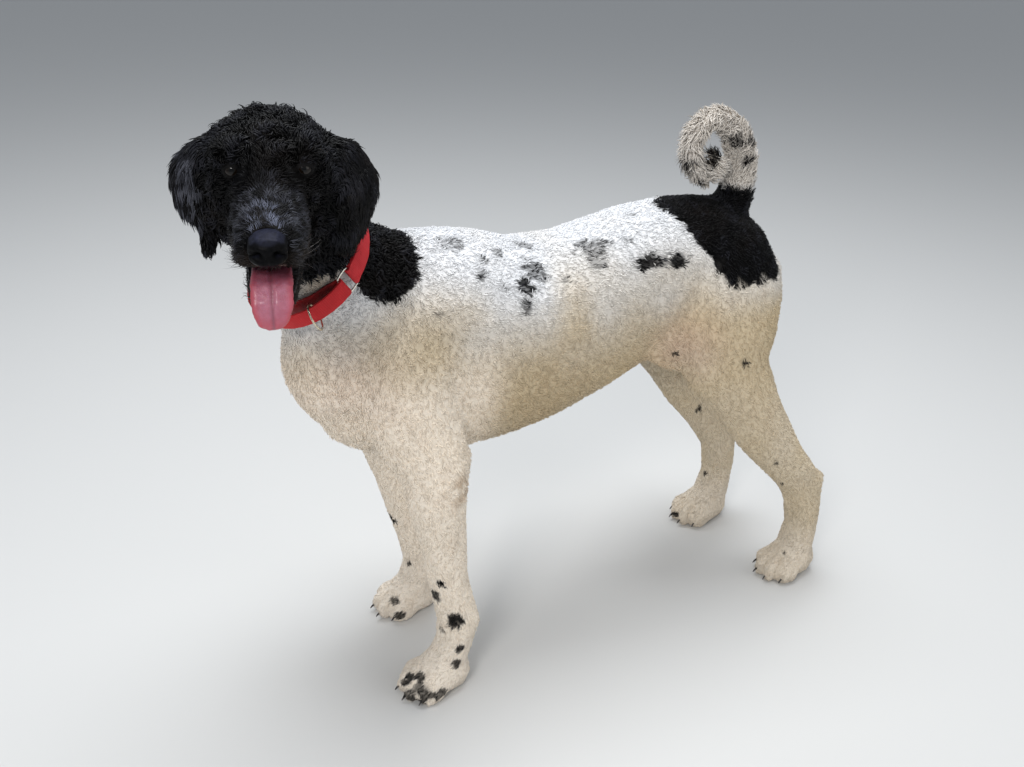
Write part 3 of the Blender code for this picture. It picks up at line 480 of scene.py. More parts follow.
def lightHair(points):
    x, _, z = points.T
    patchy = noiseAt(points, 0.05, 11)
    low = ramp(-z + 0.022 * patchy, -0.600, -0.440)
    legs = ramp(-z, -0.40, -0.30)
    chest = ramp(-x, 0.08, 0.14) * ramp(-z, -0.52, -0.44)
    tail = ramp(x, 0.19, 0.21) * ramp(z, 0.60, 0.63)
    # creamier low down: partly the coat's own cream, partly painted shade under the body; the slight blue of
    # the white on top is painted sky light
    creamAndShade = np.clip(low * (0.95 - 0.10 * legs) + 0.08 * patchy, 0, 1)
    light = blend(hair["white"], hair["cream"], creamAndShade)
    # lighter ivory on the chest: partly its own tone, partly painted light
    light = blend(light, hair["ivory"] * 1.20, 0.85 * chest)
    # painted shade on the shoulder and upper arm, in a darker cream
    light = blend(light, hair["cream"] * 0.86, tintAndShade(points, "arm"))
    # painted shade under the belly, in the throat's tan
    light = blend(light, hair["throat"], tintAndShade(points, "under"))
    light = blend(light, hair["ivory"], 0.6 * ramp(-z, -0.12, -0.05))
    light = blend(light, hair["ivory"] * 0.86, 0.75 * tail)
    light = blend(light, hair["tan"], tintAndShade(points, "elbow") * ramp(noiseAt(points, 0.012, 12), -0.3, 0.5))
    light = blend(light, hair["tan"], 0.12 * ramp(noiseAt(points, 0.016, 14), 0.35, 0.8) * low)
    light = blend(light, hair["pink"], tintAndShade(points, "groin") + tintAndShade(points, "breast"))
    return blend(light, hair["throat"], tintAndShade(points, "throat"))


def darkHair(points, highlight):  # painted highlights, as strong as the second argument makes them: a sheen on the tops of the curls and grey highlights on the face; painted shade in the hollows between the curls
    hills = curlHeight(points, curlCell["head"]) + 0.35 * noiseAt(points, 0.004, 16)
    streak = ramp(noiseAt(points, 0.0042, 15), -0.2, 0.5)
    back, side, up = inHead(points).T
    ahead, out = -back, np.abs(side)
    cheeks = ramp(ahead, 0.040, 0.070) * ramp(-up, 0.040, 0.056)
    muzzle = ramp(ahead, 0.020, 0.050) * ramp(up, -0.050, -0.030) * ramp(-out, -0.036, -0.018)
    bridge = ramp(ahead, 0.050, 0.075) * ramp(up, -0.040, -0.028) * ramp(-out, -0.018, -0.009)
    nearEar = ramp(side, 0.062, 0.080) * ramp(-up, -0.02, 0.01)
    jowl = ramp(ahead, 0.030, 0.055) * ramp(out, 0.016, 0.026) * ramp(up, -0.072, -0.052)
    dark = blend(hair["black"], hair["brownBlack"], ramp(noiseAt(points, 0.03, 13), -0.3, 0.8))
    # painted shade in the hollows between the curls
    dark = dark * (0.35 + 0.65 * ramp(hills, -0.5, 0.1))[:, None]
    # painted sheen on the tops of the curls
    dark = blend(dark, hair["sheen"], 0.55 * highlight * ramp(hills, 0.05, 0.75))
    dark = blend(dark, hair["umber"], 0.8 * cheeks)
    # painted grey highlights on the muzzle, by the near ear and on the jowls
    dark = blend(dark, hair["highlight"], 0.75 * highlight * muzzle * streak)
    # painted bluish sky sheen on the bridge above the nose
    dark = blend(dark, hair["skySheen"], 0.72 * highlight * bridge * ramp(streak, -0.1, 0.7))
    dark = blend(dark, hair["highlight"], 0.75 * highlight * nearEar * streak)
    return blend(dark, hair["highlight"], 0.50 * highlight * jowl * ramp(streak, 0.2, 1.0))


def hairColour(points, ink, highlight=1.0):
    return blend(lightHair(points), darkHair(points, highlight), ink)


# skin: one closed surface in place of all the flesh nodes

skinMake = {"seal": 0.0009, "voxel": 0.0033, "faces": 190000, "bodyRounds": 22, "faceRounds": 4}
# by node: the coat's depth, a lock's length and width, locks for each square centimetre, how far
# they rise and bend and sway in degrees, how much they swirl, and how high the curls stand
coatKeys = ("depth", "length", "width", "crowd", "rise", "bend", "sway", "swirl", "lump")
coatTable = {
    "head": (0.0070, 0.0135, 0.0021, 19, 54, 150, 75, 1.5, 0.0028),
    "lower_jaw": (0.0028, 0.0080, 0.0015, 18, 24, 30, 30, 0.5, 0),
    "ear": (0.0030, 0.0160, 0.0022, 19, 9, 24, 40, 0.45, 0.0012),
    "neck": (0.0058, 0.0115, 0.0024, 12, 48, 120, 65, 1.1, 0.0016),
    "trunk": (0.0040, 0.0080, 0.0020, 10, 31, 58, 65, 0.9, 0.0005),
    "shoulder": (0.0036, 0.0074, 0.0019, 10, 27, 50, 60, 0.9, 0.0005),
    "thigh": (0.0036, 0.0074, 0.0019, 10, 27, 50, 60, 0.9, 0.0005),
    "forearm": (0.0026, 0.0066, 0.0018, 11.6, 22, 36, 45, 0.7, 0.0004),
    "shank": (0.0028, 0.0066, 0.0018, 11.6, 22, 36, 45, 0.7, 0.0003),
    "hock": (0.0024, 0.0062, 0.0018, 12, 20, 30, 40, 0.6, 0),
    "forepaw": (0.0014, 0.0054, 0.0017, 13, 15, 20, 25, 0.4, 0),
    "hindpaw": (0.0014, 0.0054, 0.0017, 13, 15, 20, 25, 0.4, 0),
    "tail_tip": (0.0055, 0.0165, 0.0021, 17, 56, 80, 60, 0.8, 0.0012),
    "tail_middle": (0.0055, 0.0145, 0.0022, 15, 50, 80, 60, 0.8, 0.0012),
    "tail": (0.0055, 0.0130, 0.0023, 13, 46, 80, 60, 0.8, 0.0012),
}


def tableRow(node):
    for key, row in coatTable.items():
        if node.startswith(key):
            return row
    raise KeyError(node)


def isOf(nodes, *keys):
    return np.any([np.char.startswith(nodes, key) for key in keys], axis=0)


def joinedFlesh():
    whole = bmesh.new()
    for node in fleshNodes:
        bm = nodeCopy(node)
        for vertex in bm.verts:
            vertex.co += vertex.normal * skinMake["seal"] * min(2.0, vertex.calc_shell_factor())
        mesh = meshFrom(bm, node)
        whole.from_mesh(mesh)
        bpy.data.meshes.remove(mesh)
    return meshFrom(whole, "flesh")


def nodesNear(points):
    tree, owners = treeOf(*fleshNodes)
    return np.array([owners[tree.find_nearest(point)[2]] for point in points])


def thinBody(obj):  # fewer faces where the form is plain, all of them on the face, ears and paws
    mesh = obj.data
    points = cornersOf(mesh)
    nodes = nodesNear(points)
    plain = ~isOf(nodes, "head", "lower_jaw", "ear", "forepaw", "hindpaw")
    group = obj.vertex_groups.new(name="plain")
    group.add(np.flatnonzero(plain).tolist(), 1.0, "REPLACE")
    step = obj.modifiers.new("thin", "DECIMATE")
    step.ratio = min(1.0, skinMake["faces"] / (2 * len(mesh.polygons)))
    step.vertex_group = "plain"
    step.vertex_group_factor = 4.0
    step.use_collapse_triangulate = True
    bakeModifiers(obj)
    obj.vertex_groups.clear()


def buildSkin():
    obj = remeshed("skin", joinedFlesh(), skinMake["voxel"])
    thinBody(obj)
    mesh = obj.data
    table = neighbourTable(mesh)
    points = cornersOf(mesh)
    nodes = nodesNear(points)
    head = inHead(points)
    detail = np.zeros(len(points))  # 1 where small forms are kept
    detail[isOf(nodes, "forepaw", "hindpaw")] = 1
    detail[(nodes == "lower_jaw") | ((nodes == "head") & (head[:, 0] < 0.012))] = 1
    detail[isOf(nodes, "ear")] = 0.5
    detail = averaged(detail, table, 4)
    share = 0.5 * (1 - detail[:, None])
    for k in range(skinMake["bodyRounds"]):
        points = averaged(points, table, 1, share if k % 2 == 0 else -0.9 * share)
    points = averaged(points, table, skinMake["faceRounds"], 0.4)
    return obj, table, points, nodes


skin, skinTable, skinPoints, skinNodes = buildSkin()
print("skin", len(skinPoints), "corners", len(skin.data.polygons), "faces")


# sculpting: toes, and the skin round the eyes

toeShape = {"groove": 0.0030, "grooveWide": 0.0024, "knuckle": 0.0016, "knuckleWide": 0.0060,
            "root": 0.62, "top": 0.050, "from": 0.30, "to": 0.75}
eyeShape = {"halfWide": 0.0067, "halfHigh": 0.0040, "out": 0.26, "up": 0.04, "slant": 6, "under": 0.0020,
            "over": 0.0003, "rim": 1.35, "reach": 0.026}


def eyeAxes(side):  # across the opening, up, and out of the eye
    sign = -1 if side == "left" else 1
    out = (headAxes @ Vector((-1, sign * eyeShape["out"], eyeShape["up"]))).normalized()
    across = (headAxes.col[1] * sign - out * out.dot(headAxes.col[1] * sign)).normalized()
    across = Matrix.Rotation(math.radians(eyeShape["slant"]) * sign, 3, out) @ across
    return np.array((across, out.cross(across) * sign, out))


def inEye(points, side):
    return (points - np.array(eyePlaces[side])) @ eyeAxes(side).T


def sculptPaws(points, normals):
    for paw in ("forepaw_left", "forepaw_right", "hindpaw_left", "hindpaw_right"):
        limb, side = paw.split("paw_")
        tips = [middleOf("claw_%s_%s_%d" % (limb, side, k)) for k in (4, 2, 1, 3)]
        tips.sort(key=lambda tip: tip.y)
        low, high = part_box(paw)
        back = Vector((low.x + toeShape["root"] * (high.x - low.x), sum(t.y for t in tips) / 4, 0))
        mine = np.flatnonzero((skinNodes == paw) & (points[:, 2] < toeShape["top"]))
        flat = points[mine] * (1, 1, 0)
        push = np.zeros(len(mine))
        lines = [(tip, toeShape["knuckle"], toeShape["knuckleWide"]) for tip in tips]
        between = [(a + b) / 2 for a, b in zip(tips, tips[1:])]
        lines += [(spot, -toeShape["groove"], toeShape["grooveWide"]) for spot in between]
        for tip, strength, wide in lines:
            run = np.array((tip.x, tip.y, 0)) - np.array(back)
            length = np.linalg.norm(run)
            along = (flat - np.array(back)) @ run / length ** 2
            away = np.linalg.norm(flat - np.array(back) - along[:, None] * run, axis=1)
            push += strength * np.exp(-(away / wide) ** 2) * ramp(along, toeShape["from"], toeShape["to"])
        points[mine] += normals[mine] * push[:, None]
    return points


def lidShare(local):  # 1 on the edge of the opening, growing outwards round the ball
    flat = np.hypot(local[:, 0], local[:, 1])
    arc = eyeRadius * np.arctan2(flat, local[:, 2]) / np.maximum(flat, 1e-9)
    return np.hypot(local[:, 0] * arc / eyeShape["halfWide"], local[:, 1] * arc / eyeShape["halfHigh"])


def sculptFace(points):  # the skin dips under the opening of the eye and lies on the ball round it
    for side in ("left", "right"):
        local = inEye(points, side)
        close = (np.linalg.norm(local, axis=1) < eyeShape["reach"]) & (local[:, 2] > 0)
        near = np.flatnonzero(close & isOf(skinNodes, "head"))
        spot = local[near]
        far = np.linalg.norm(spot, axis=1)
        share = lidShare(spot)
        within = share < eyeShape["rim"]
        wanted = np.where(within, eyeRadius - eyeShape["under"], eyeRadius + eyeShape["over"])
        hold = np.where(within, 1.0, 1 - ramp(share, 1.9, 4.2))
        spot = spot * ((far + (wanted - far) * hold) / far)[:, None]
        points[near] = spot @ eyeAxes(side) + np.array(eyePlaces[side])
    return points


# how much smaller each value is on the muzzle, where only the crowd is larger, and what the topknot,
# the brow and the inside of the tail's coil add to it
muzzleCut = {"depth": 0.50, "length": 0.25, "width": 0.50, "rise": 0.60, "bend": 0.82, "swirl": 0.62,
             "lump": 0.70, "crowd": -0.62}
topknotMore = {"depth": 0.0022, "length": 0.0025, "lump": 0.0012}
browMore = {"length": 0.0015}
coilMore = {"length": 0.010, "rise": 15}
tailCoil = {"inside": (0.268, 0.053, 0.690), "round": (0.283, 0.672), "foot": 0.64}


def coatFields():
    rows = np.array([tableRow(node) for node in skinNodes], float)
    fields = dict(zip(coatKeys, rows.T))
    back, side, up = inHead(skinPoints).T
    out = np.abs(side)
    onHead = skinNodes == "head"
    muzzle = ramp(-back, 0.012, 0.040) * onHead
    sideHair = muzzle * ramp(out, 0.012, 0.030)
    topknot = ramp(up - 0.30 * out, 0.008, 0.034) * onHead
    brow = np.exp(-((up - 0.022) / 0.009) ** 2) * ramp(-back, -0.03, 0.0) * onHead
    toMiddle = unit(np.array(tailCoil["inside"]) - skinPoints)
    inward = np.einsum("ij,ij->i", normalsOf(skin.data), toMiddle) * (skinNodes == "tail_tip")
    fluff = ramp(inward, 0.35, 0.85) * ramp(-skinPoints[:, 0], -0.262, -0.250)
    earTip = isOf(skinNodes, "ear") * ramp(-up, 0.060, 0.095)
    for key, less in muzzleCut.items():
        fields[key] = fields[key] * (1 - less * muzzle)
    fields["rise"] = fields["rise"] * (1 + 0.45 * sideHair)
    for extra, share in ((topknotMore, topknot), (browMore, brow), (coilMore, fluff)):
        for key, more in extra.items():
            fields[key] = fields[key] + more * share
    fields["bend"] = fields["bend"] * (1 - 0.4 * fluff)
    whiteNeck = (skinNodes == "neck") * (1 - inkAt(skinPoints, 0.0))
    for key, short in zip(coatKeys, coatTable["trunk"]):
        fields[key] = fields[key] + (short - fields[key]) * whiteNeck
    fields["length"] = fields["length"] * (1 - 0.35 * earTip)
    stacked = np.stack([fields[key] for key in coatKeys], axis=1)
    return dict(zip(coatKeys, averaged(stacked, skinTable, 12).T.copy()))


def eyeShares():  # 1 at the opening of either eye, growing outwards
    found = np.full(len(skinPoints), 9.0)
    for side in ("left", "right"):
        local = inEye(skinPoints, side)
        closeBy = (np.linalg.norm(local, axis=1) < 0.03) & (local[:, 2] > 0)
        found[closeBy] = lidShare(local[closeBy])
    return found


nearNodes = {"nose": ["nose"], "tongue": ["tongue"], "collar": ["collar_strap", "collar_loop"],
             "metal": ["collar_slide_left", "collar_slide_right", "collar_lead_ring"]}
# what is left of each value beside the eyes, the nose and the tongue
bareLeft = {"depth": 0.10, "length": 0.30, "width": 0.60, "rise": 0.45, "lump": 0.0}
overStrapHair = {"length": 0.0205, "width": 0.0022, "rise": 50, "bend": 60, "sway": 30}
coat = coatFields()
gaps = {name: distanceTo(skinPoints, *nodes) for name, nodes in nearNodes.items()}
eyeShare = eyeShares()
bare = ramp(eyeShare, 0.9, 3.0) * ramp(gaps["nose"], -0.0010, 0.0045)
bare = bare * (0.3 + 0.7 * ramp(gaps["tongue"], 0.001, 0.010))
for coatKey, left in bareLeft.items():
    coat[coatKey] *= left + (1 - left) * bare
strapGap = np.minimum(gaps["collar"], gaps["metal"] + 0.001)
pressed = 1 - ramp(strapGap, 0.0015, 0.008)
coat["crowd"] *= 1 + 1.1 * (1 - ramp(strapGap, 0.004, 0.013))
# the black hair in front of the strap falls over it
overStrap = ramp(-inCollar(skinPoints)[:, 2], 0.006, 0.013) * (1 - ramp(strapGap, 0.008, 0.016))
overStrap = averaged(overStrap * (skinNodes != "lower_jaw") * inkAt(skinPoints, 0.0), skinTable, 2)
pressed = pressed * (1 - overStrap)
for coatKey, wanted in overStrapHair.items():
    coat[coatKey] = coat[coatKey] + (wanted - coat[coatKey]) * overStrap


def curlSlope(points, cell):
    step = cell * 0.15
    slopes = []
    for shift in np.eye(3) * step:
        slopes.append(curlHeight(points + shift, cell) - curlHeight(points - shift, cell))
    return np.stack(slopes, axis=1) / (2 * step) * cell


earShape = {"inner": 0.059, "from": 0.058, "to": 0.074, "wide": 0.0185, "top": 0.006, "lock": 0.5,
            "end": 0.088, "fold": 0.075, "short": 0.82, "leftOut": 0.0065}


def fromHead(back, side, up):
    return np.stack([back, side, up], axis=1) @ np.array(headAxes).T + np.array(eyeMiddle)


def shapeEar(points):  # the right ear narrows to one lock at its front, and starts closer to the head
    mine = skinNodes == "ear_right"
    x, y, z = inHead(points[mine]).T
    low = ramp(-z, earShape["from"], earShape["to"])
    slim = earShape["inner"] + earShape["wide"] * np.tanh((y - earShape["inner"]) / earShape["wide"])
    y = y + (slim - y) * low
    y = y - earShape["top"] * ramp(z, -0.014, 0.010) * ramp(y, 0.060, 0.090)
    end = z < -earShape["end"]
    full = earShape["lock"] * ramp(-z, 0.072, 0.092)
    x = x + (x - x[end].mean()) * full
    y = y + (y - y[end].mean()) * full
    fold = -earShape["fold"]
    z = np.where(z < fold, fold + (z - fold) * earShape["short"], z)
    points[mine] = fromHead(x, y, z)
    mine = skinNodes == "ear_left"  # the left ear stands out lower down, over the strap
    x, y, z = inHead(points[mine]).T
    lower = ramp(-z, 0.000, 0.045) * (1 - 0.5 * ramp(-z, 0.080, 0.105))
    y = y - earShape["leftOut"] * lower * ramp(-y, 0.055, 0.080)
    points[mine] = fromHead(x, y, z)
    return points


# how far under a point the form's other side is looked for, how much of that depth the coat may
# take, how firmly the skin closes on the nose, and the level of the soles
settling = {"search": 0.05, "most": 0.30, "lap": 0.92, "lapOver": 0.0004, "sole": 0.0010}


def settleSkin():
    mesh = skin.data
    shapeEar(skinPoints)
    setCorners(mesh, skinPoints)
    normals = normalsOf(mesh)
    tree = BVHTree.FromObject(skin, bpy.context.evaluated_depsgraph_get())
    thick = np.full(len(skinPoints), settling["search"])  # how thick the form is under each point
    for i in np.flatnonzero(isOf(skinNodes, "ear", "tail", "head", "lower_jaw")):
        start = Vector(skinPoints[i] - normals[i] * 0.0004)
        hit = tree.ray_cast(start, Vector(-normals[i]), settling["search"])
        if hit[0] is not None:
            thick[i] = hit[3]
    depth = averaged(np.minimum(coat["depth"], settling["most"] * thick), skinTable, 3)
    points = skinPoints - normals * depth[:, None]
    points = averaged(points, skinTable, 2, 0.4)
    setCorners(mesh, points)
    normals = normalsOf(mesh)
    points = sculptFace(sculptPaws(points, normals))
    headward = isOf(skinNodes, "head", "ear", "neck")
    hills = np.where(headward, *(curlHeight(points, curlCell[part]) for part in ("head", "body")))
    points = points + normals * (coat["lump"] * (0.2 + hills) * (1 - pressed))[:, None]
    tree, _ = treeOf("nose")
    closing = 1 - ramp(gaps["nose"], 0.0008, 0.0045)
    for i in np.flatnonzero(closing > 0):  # the skin laps over the edge of the nose
        target, outward, _, _ = tree.find_nearest(Vector(points[i]))
        edge = np.array(target + outward * settling["lapOver"])
        points[i] += (edge - points[i]) * closing[i] * settling["lap"]
    low = points[:, 2] < settling["sole"]
    points[low, 2] = settling["sole"] + 0.0004 * np.tanh((points[low, 2] - settling["sole"]) / 0.001)
    setCorners(mesh, points)
    mesh.shade_smooth()
    return points


skinPoints = settleSkin()
skinNormals = normalsOf(skin.data)


lies = {"neck": -np.array(neckLine), "shoulder": (0.45, 0, -0.9), "forearm": (0.12, 0, -1),
        "thigh": (0.55, 0, -0.85), "shank": (0.35, 0, -0.9), "hock": (0.0, 0, -1),
        "forepaw": (-0.75, 0, -0.5), "hindpaw": (-0.75, 0, -0.5)}


def lieOf(points, nodes):  # the way the hair runs, before it is laid on the skin
    lie = np.tile((0.86, 0.0, -0.45), (len(points), 1))
    x, _, z = points.T
    turn = np.array(headAxes)
    for key, row in lies.items():
        lie[np.char.startswith(nodes, key)] = row
    lie[(nodes == "trunk") & (x < -0.2)] = (0.3, 0, -1)
    onTail = np.char.startswith(nodes, "tail")
    coiled = onTail & (z > tailCoil["foot"])
    middleX, middleZ = tailCoil["round"]
    lie[coiled] = np.stack([middleZ - z, 0 * z, x - middleX], axis=1)[coiled]
    lie[onTail & ~coiled] = (0, 0, 1)
    back, side, _ = inHead(points).T
    muzzle = ramp(-back, 0.010, 0.045)
    spread = np.stack([0.9 - 0.35 * muzzle, (5.0 + 34 * muzzle) * side,
                       0.25 - (9 + 10 * muzzle) * np.abs(side)], axis=1)
    onHead = (nodes == "head") | (nodes == "lower_jaw")
    lie[onHead] = (spread @ turn.T)[onHead]
    lie[np.char.startswith(nodes, "ear")] = turn @ np.array((0.1, 0, -1))
    return unit(lie)


skinLie = lieOf(skinPoints, skinNodes)
skinLie = skinLie - skinNormals * np.einsum("ij,ij->i", skinLie, skinNormals)[:, None]
skinLie = unit(averaged(skinLie, skinTable, 10))


airAbove = {"most": 0.015, "start": 0.0006, "reach": 0.0144}


def headroomOf(points, normals):  # clear air over each point, up to the most that is looked for
    around = bmesh.new()
    around.from_mesh(skin.data)
    for node in ("tongue", "nose", "collar_strap", "collar_loop"):
        around.from_mesh(frame["nodes"][node].data)
    tree = BVHTree.FromBMesh(around)
    around.free()
    room = np.full(len(points), airAbove["most"])
    for i, (point, normal) in enumerate(zip(points + normals * airAbove["start"], normals)):
        hit = tree.ray_cast(Vector(point), Vector(normal), airAbove["reach"])
        if hit[0] is not None:
            room[i] = hit[3]
    return room


headroom = averaged(headroomOf(skinPoints, skinNormals), skinTable, 2)


def unwrapSkin():
    bpy.context.view_layer.objects.active = skin
    skin.select_set(True)
    skin.data.uv_layers.new(name="OFBake")
    bpy.ops.object.mode_set(mode="EDIT")
    bpy.ops.mesh.select_all(action="SELECT")
    bpy.ops.uv.smart_project(angle_limit=math.radians(66), island_margin=0.002)
    bpy.ops.object.mode_set(mode="OBJECT")
    skin.select_set(False)


unwrapSkin()
skinInk = inkAt(skinPoints, 0.8)
print("skin settled and unwrapped")


def pointColours(mesh, name, colours):
    layer = mesh.attributes.new(name, "FLOAT_COLOR", "POINT")
    full = np.ones((len(colours), 4))
    full[:, :3] = colours
    layer.data.foreach_set("color", full.ravel())


# painted shade: the skin between the locks is darker than the hair, more so under the black, and gets no
# painted highlights
shadedSkinTint = hairColour(skinPoints, skinInk, 0.0) * (0.92 - 0.3 * skinInk)[:, None]
pointColours(skin.data, "hairTintAndShade", shadedSkinTint)


# materials

def principled(name, roughness, **sockets):
    made = bpy.data.materials.new(name)
    made.use_nodes = True
    shader = made.node_tree.nodes["Principled BSDF"]
    shader.inputs["Roughness"].default_value = roughness
    for socket, value in sockets.items():
        shader.inputs[socket.replace("_", " ")].default_value = value
    return made, made.node_tree, shader


def addNode(tree, kind, **settings):
    made = tree.nodes.new("ShaderNode" + kind)
    for name, value in settings.items():
        if name in made.inputs:
            made.inputs[name].default_value = value
        else:
            setattr(made, name, value)
    return made


def addBump(tree, shader, height, strength, distance):
    bump = addNode(tree, "Bump")
    bump.inputs["Strength"].default_value = strength
    bump.inputs["Distance"].default_value = distance
    tree.links.new(height, bump.inputs["Height"])
    tree.links.new(bump.outputs["Normal"], shader.inputs["Normal"])


def objectNoise(tree, scale, detail=3.0, stretch=None):
    place = addNode(tree, "TexCoord").outputs["Object"]
    if stretch:
        mapping = addNode(tree, "Mapping")
        mapping.inputs["Scale"].default_value = stretch
        tree.links.new(place, mapping.inputs["Vector"])
        place = mapping.outputs["Vector"]
    noise = addNode(tree, "TexNoise")
    noise.inputs["Scale"].default_value = scale
    noise.inputs["Detail"].default_value = detail
    tree.links.new(place, noise.inputs["Vector"])
    return noise.outputs["Fac"]


def colourRamp(tree, value, *stops):
    made = addNode(tree, "ValToRGB")
    steps = made.color_ramp.elements
    while len(steps) < len(stops):
        steps.new(0.5)
    for step, (place, colour) in zip(steps, stops):
        step.position = place
        step.color = (*colour, 1)
    tree.links.new(value, made.inputs["Fac"])
    return made.outputs["Color"]


def mixColours(tree, share, first, second, blending="MIX"):
    mixed = addNode(tree, "MixRGB", blend_type=blending)
    for socket, value in (("Fac", share), ("Color1", first), ("Color2", second)):
        if isinstance(value, tuple):
            mixed.inputs[socket].default_value = (*value, 1)
        elif isinstance(value, float):
            mixed.inputs[socket].default_value = value
        else:
            tree.links.new(value, mixed.inputs[socket])
    return mixed.outputs["Color"]


def addPebbles(tree, shader, scale, strength, distance):
    cells = addNode(tree, "TexVoronoi")
    cells.inputs["Scale"].default_value = scale
    tree.links.new(addNode(tree, "TexCoord").outputs["Object"], cells.inputs["Vector"])
    addBump(tree, shader, cells.outputs["Distance"], strength, distance)


def addRoughness(tree, shader, value, low, high):
    rough = addNode(tree, "MapRange")
    rough.inputs["To Min"].default_value = low
    rough.inputs["To Max"].default_value = high
    tree.links.new(value, rough.inputs["Value"])
    tree.links.new(rough.outputs["Result"], shader.inputs["Roughness"])
    return rough


def hairMaterial(name, roughness, low, high, gloss):
    made, tree, shader = principled(name, roughness, Specular_IOR_Level=gloss)
    tint = addNode(tree, "Attribute", attribute_name="hairTintAndShade")
    mottle = addNode(tree, "MapRange")
    mottle.inputs["To Min"].default_value = low
    mottle.inputs["To Max"].default_value = high
    tree.links.new(objectNoise(tree, 260.0), mottle.inputs["Value"])
    mixed = addNode(tree, "VectorMath", operation="SCALE")
    tree.links.new(tint.outputs["Color"], mixed.inputs[0])
    tree.links.new(mottle.outputs["Result"], mixed.inputs["Scale"])
    tree.links.new(mixed.outputs["Vector"], shader.inputs["Base Color"])
    shine = addRoughness(tree, shader, tint.outputs["Fac"], roughness - 0.30, roughness)
    shine.inputs["From Max"].default_value = 0.4  # black hair is glossier than white
    return made, tree, shader


def skinMaterial():
    made, tree, shader = hairMaterial("shortHair", 0.75, 0.86, 1.12, 0.04)
    addBump(tree, shader, objectNoise(tree, 420.0, 4.0), 0.7, 0.0016)
    return made


skin.data.materials.append(skinMaterial())
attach(skin, "root")
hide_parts(*fleshNodes)


# coat: locks of hair, each a thin tapered solid that bends as it grows

def faceArrays():
    mesh = skin.data
    count = len(mesh.polygons)
    corners = np.empty(count * 3, int)
    mesh.loops.foreach_get("vertex_index", corners)
    maps = np.empty(count * 6)
    mesh.uv_layers["OFBake"].data.foreach_get("uv", maps)
    areas = np.empty(count)
    mesh.polygons.foreach_get("area", areas)
    return corners.reshape(-1, 3), maps.reshape(-1, 3, 2), areas


# no lock grows nearer than this to the eye's opening, the nose, the tongue, the strap, whatever is
# above it, and the floor
keepOff = {"eye": 1.22, "nose": 0.0004, "tongue": 0.0016, "strap": 0.0020, "strapHalf": 0.0085,
           "air": 0.0012, "floor": 0.0022}


def scatterRoots():
    faces, maps, areas = faceArrays()
    hidden = eyeShare < keepOff["eye"]
    hidden |= (gaps["nose"] < keepOff["nose"]) | (gaps["tongue"] < keepOff["tongue"])
    underStrap = np.abs(inCollar(skinPoints)[:, 2]) < keepOff["strapHalf"]
    hidden |= underStrap & (gaps["collar"] < keepOff["strap"])
    hidden |= (headroom < keepOff["air"]) | (skinPoints[:, 2] < keepOff["floor"])
    wanted = coat["crowd"][faces].mean(axis=1) * areas * 1e4
    wanted[hidden[faces].any(axis=1)] = 0
    number = np.floor(wanted + rng.random(len(wanted))).astype(int)
    owner = np.repeat(np.arange(len(faces)), number)
    u, v = rng.random((2, len(owner)))
    folded = u + v > 1
    u, v = np.where(folded, 1 - u, u), np.where(folded, 1 - v, v)
    weights = np.stack([1 - u - v, u, v], axis=1)
    ids = faces[owner]

    def spread(values):
        return np.einsum("ij,ijk->ik", weights, values[ids])

    made = {"place": spread(skinPoints), "normal": unit(spread(skinNormals)), "lie": unit(spread(skinLie)),
            "map": np.einsum("ij,ijk->ik", weights, maps[owner]), "node": skinNodes[ids[:, 0]]}
    for name, values in {**coat, "pressed": pressed, "headroom": headroom}.items():
        made[name] = spread(values[:, None])[:, 0]
    return made


roots = scatterRoots()
print("tufts", len(roots["place"]))


softShare = {"dark": 0.5, "white": 0.80}  # how far a lock is shaded as the skin under it is
rootShade = {"dark": 0.80, "white": 0.93}  # painted shade: how dark a lock is at its root, against 1 near its tip
nextShade, tipShade = 0.06, 1.03  # how much lighter the next ring is, and the tip, in the painted shade along the lock
inkSharp = 1.9  # how sharply the locks divide into black and white
darkPieces = ("coatFace", "coatHead", "coatEars", "coatNeck", "coatTailTuft", "whiskersChin", "whiskersLip",
              "whiskersBrow")
# spread of a lock's heading, how strongly it turns round the hills of the coat, and the spread of
# its length, width, rise, bend, colour and of the edge of the black
lockSpread = {"heading": 0.20, "whirl": 0.8, "length": (0.75, 1.2), "width": (0.8, 1.2),
              "rise": (0.7, 1.25), "bend": (0.6, 1.35), "tint": (0.90, 1.08), "ink": (0.27, 0.73)}
# how much flatter and shorter a lock is where something presses on it, how deep its root is sunk, how
# much deeper if it stands up, how far it hangs on the ears and elsewhere, and how blunt it ends when
# it has few sections and when it has many
lockShape = {"flatter": 0.75, "shorter": 0.35, "sunk": 0.0001, "deeper": 0.0008, "hangEar": 1.5,
             "hang": 0.06, "bluntFew": 2.2, "bluntMany": 4.0, "few": 4}
lockPatch = 0.003  # the side of a lock's patch in the map
woolFinish, _, _ = hairMaterial("woollyHair", 0.72, 0.9, 1.1, 0.14)


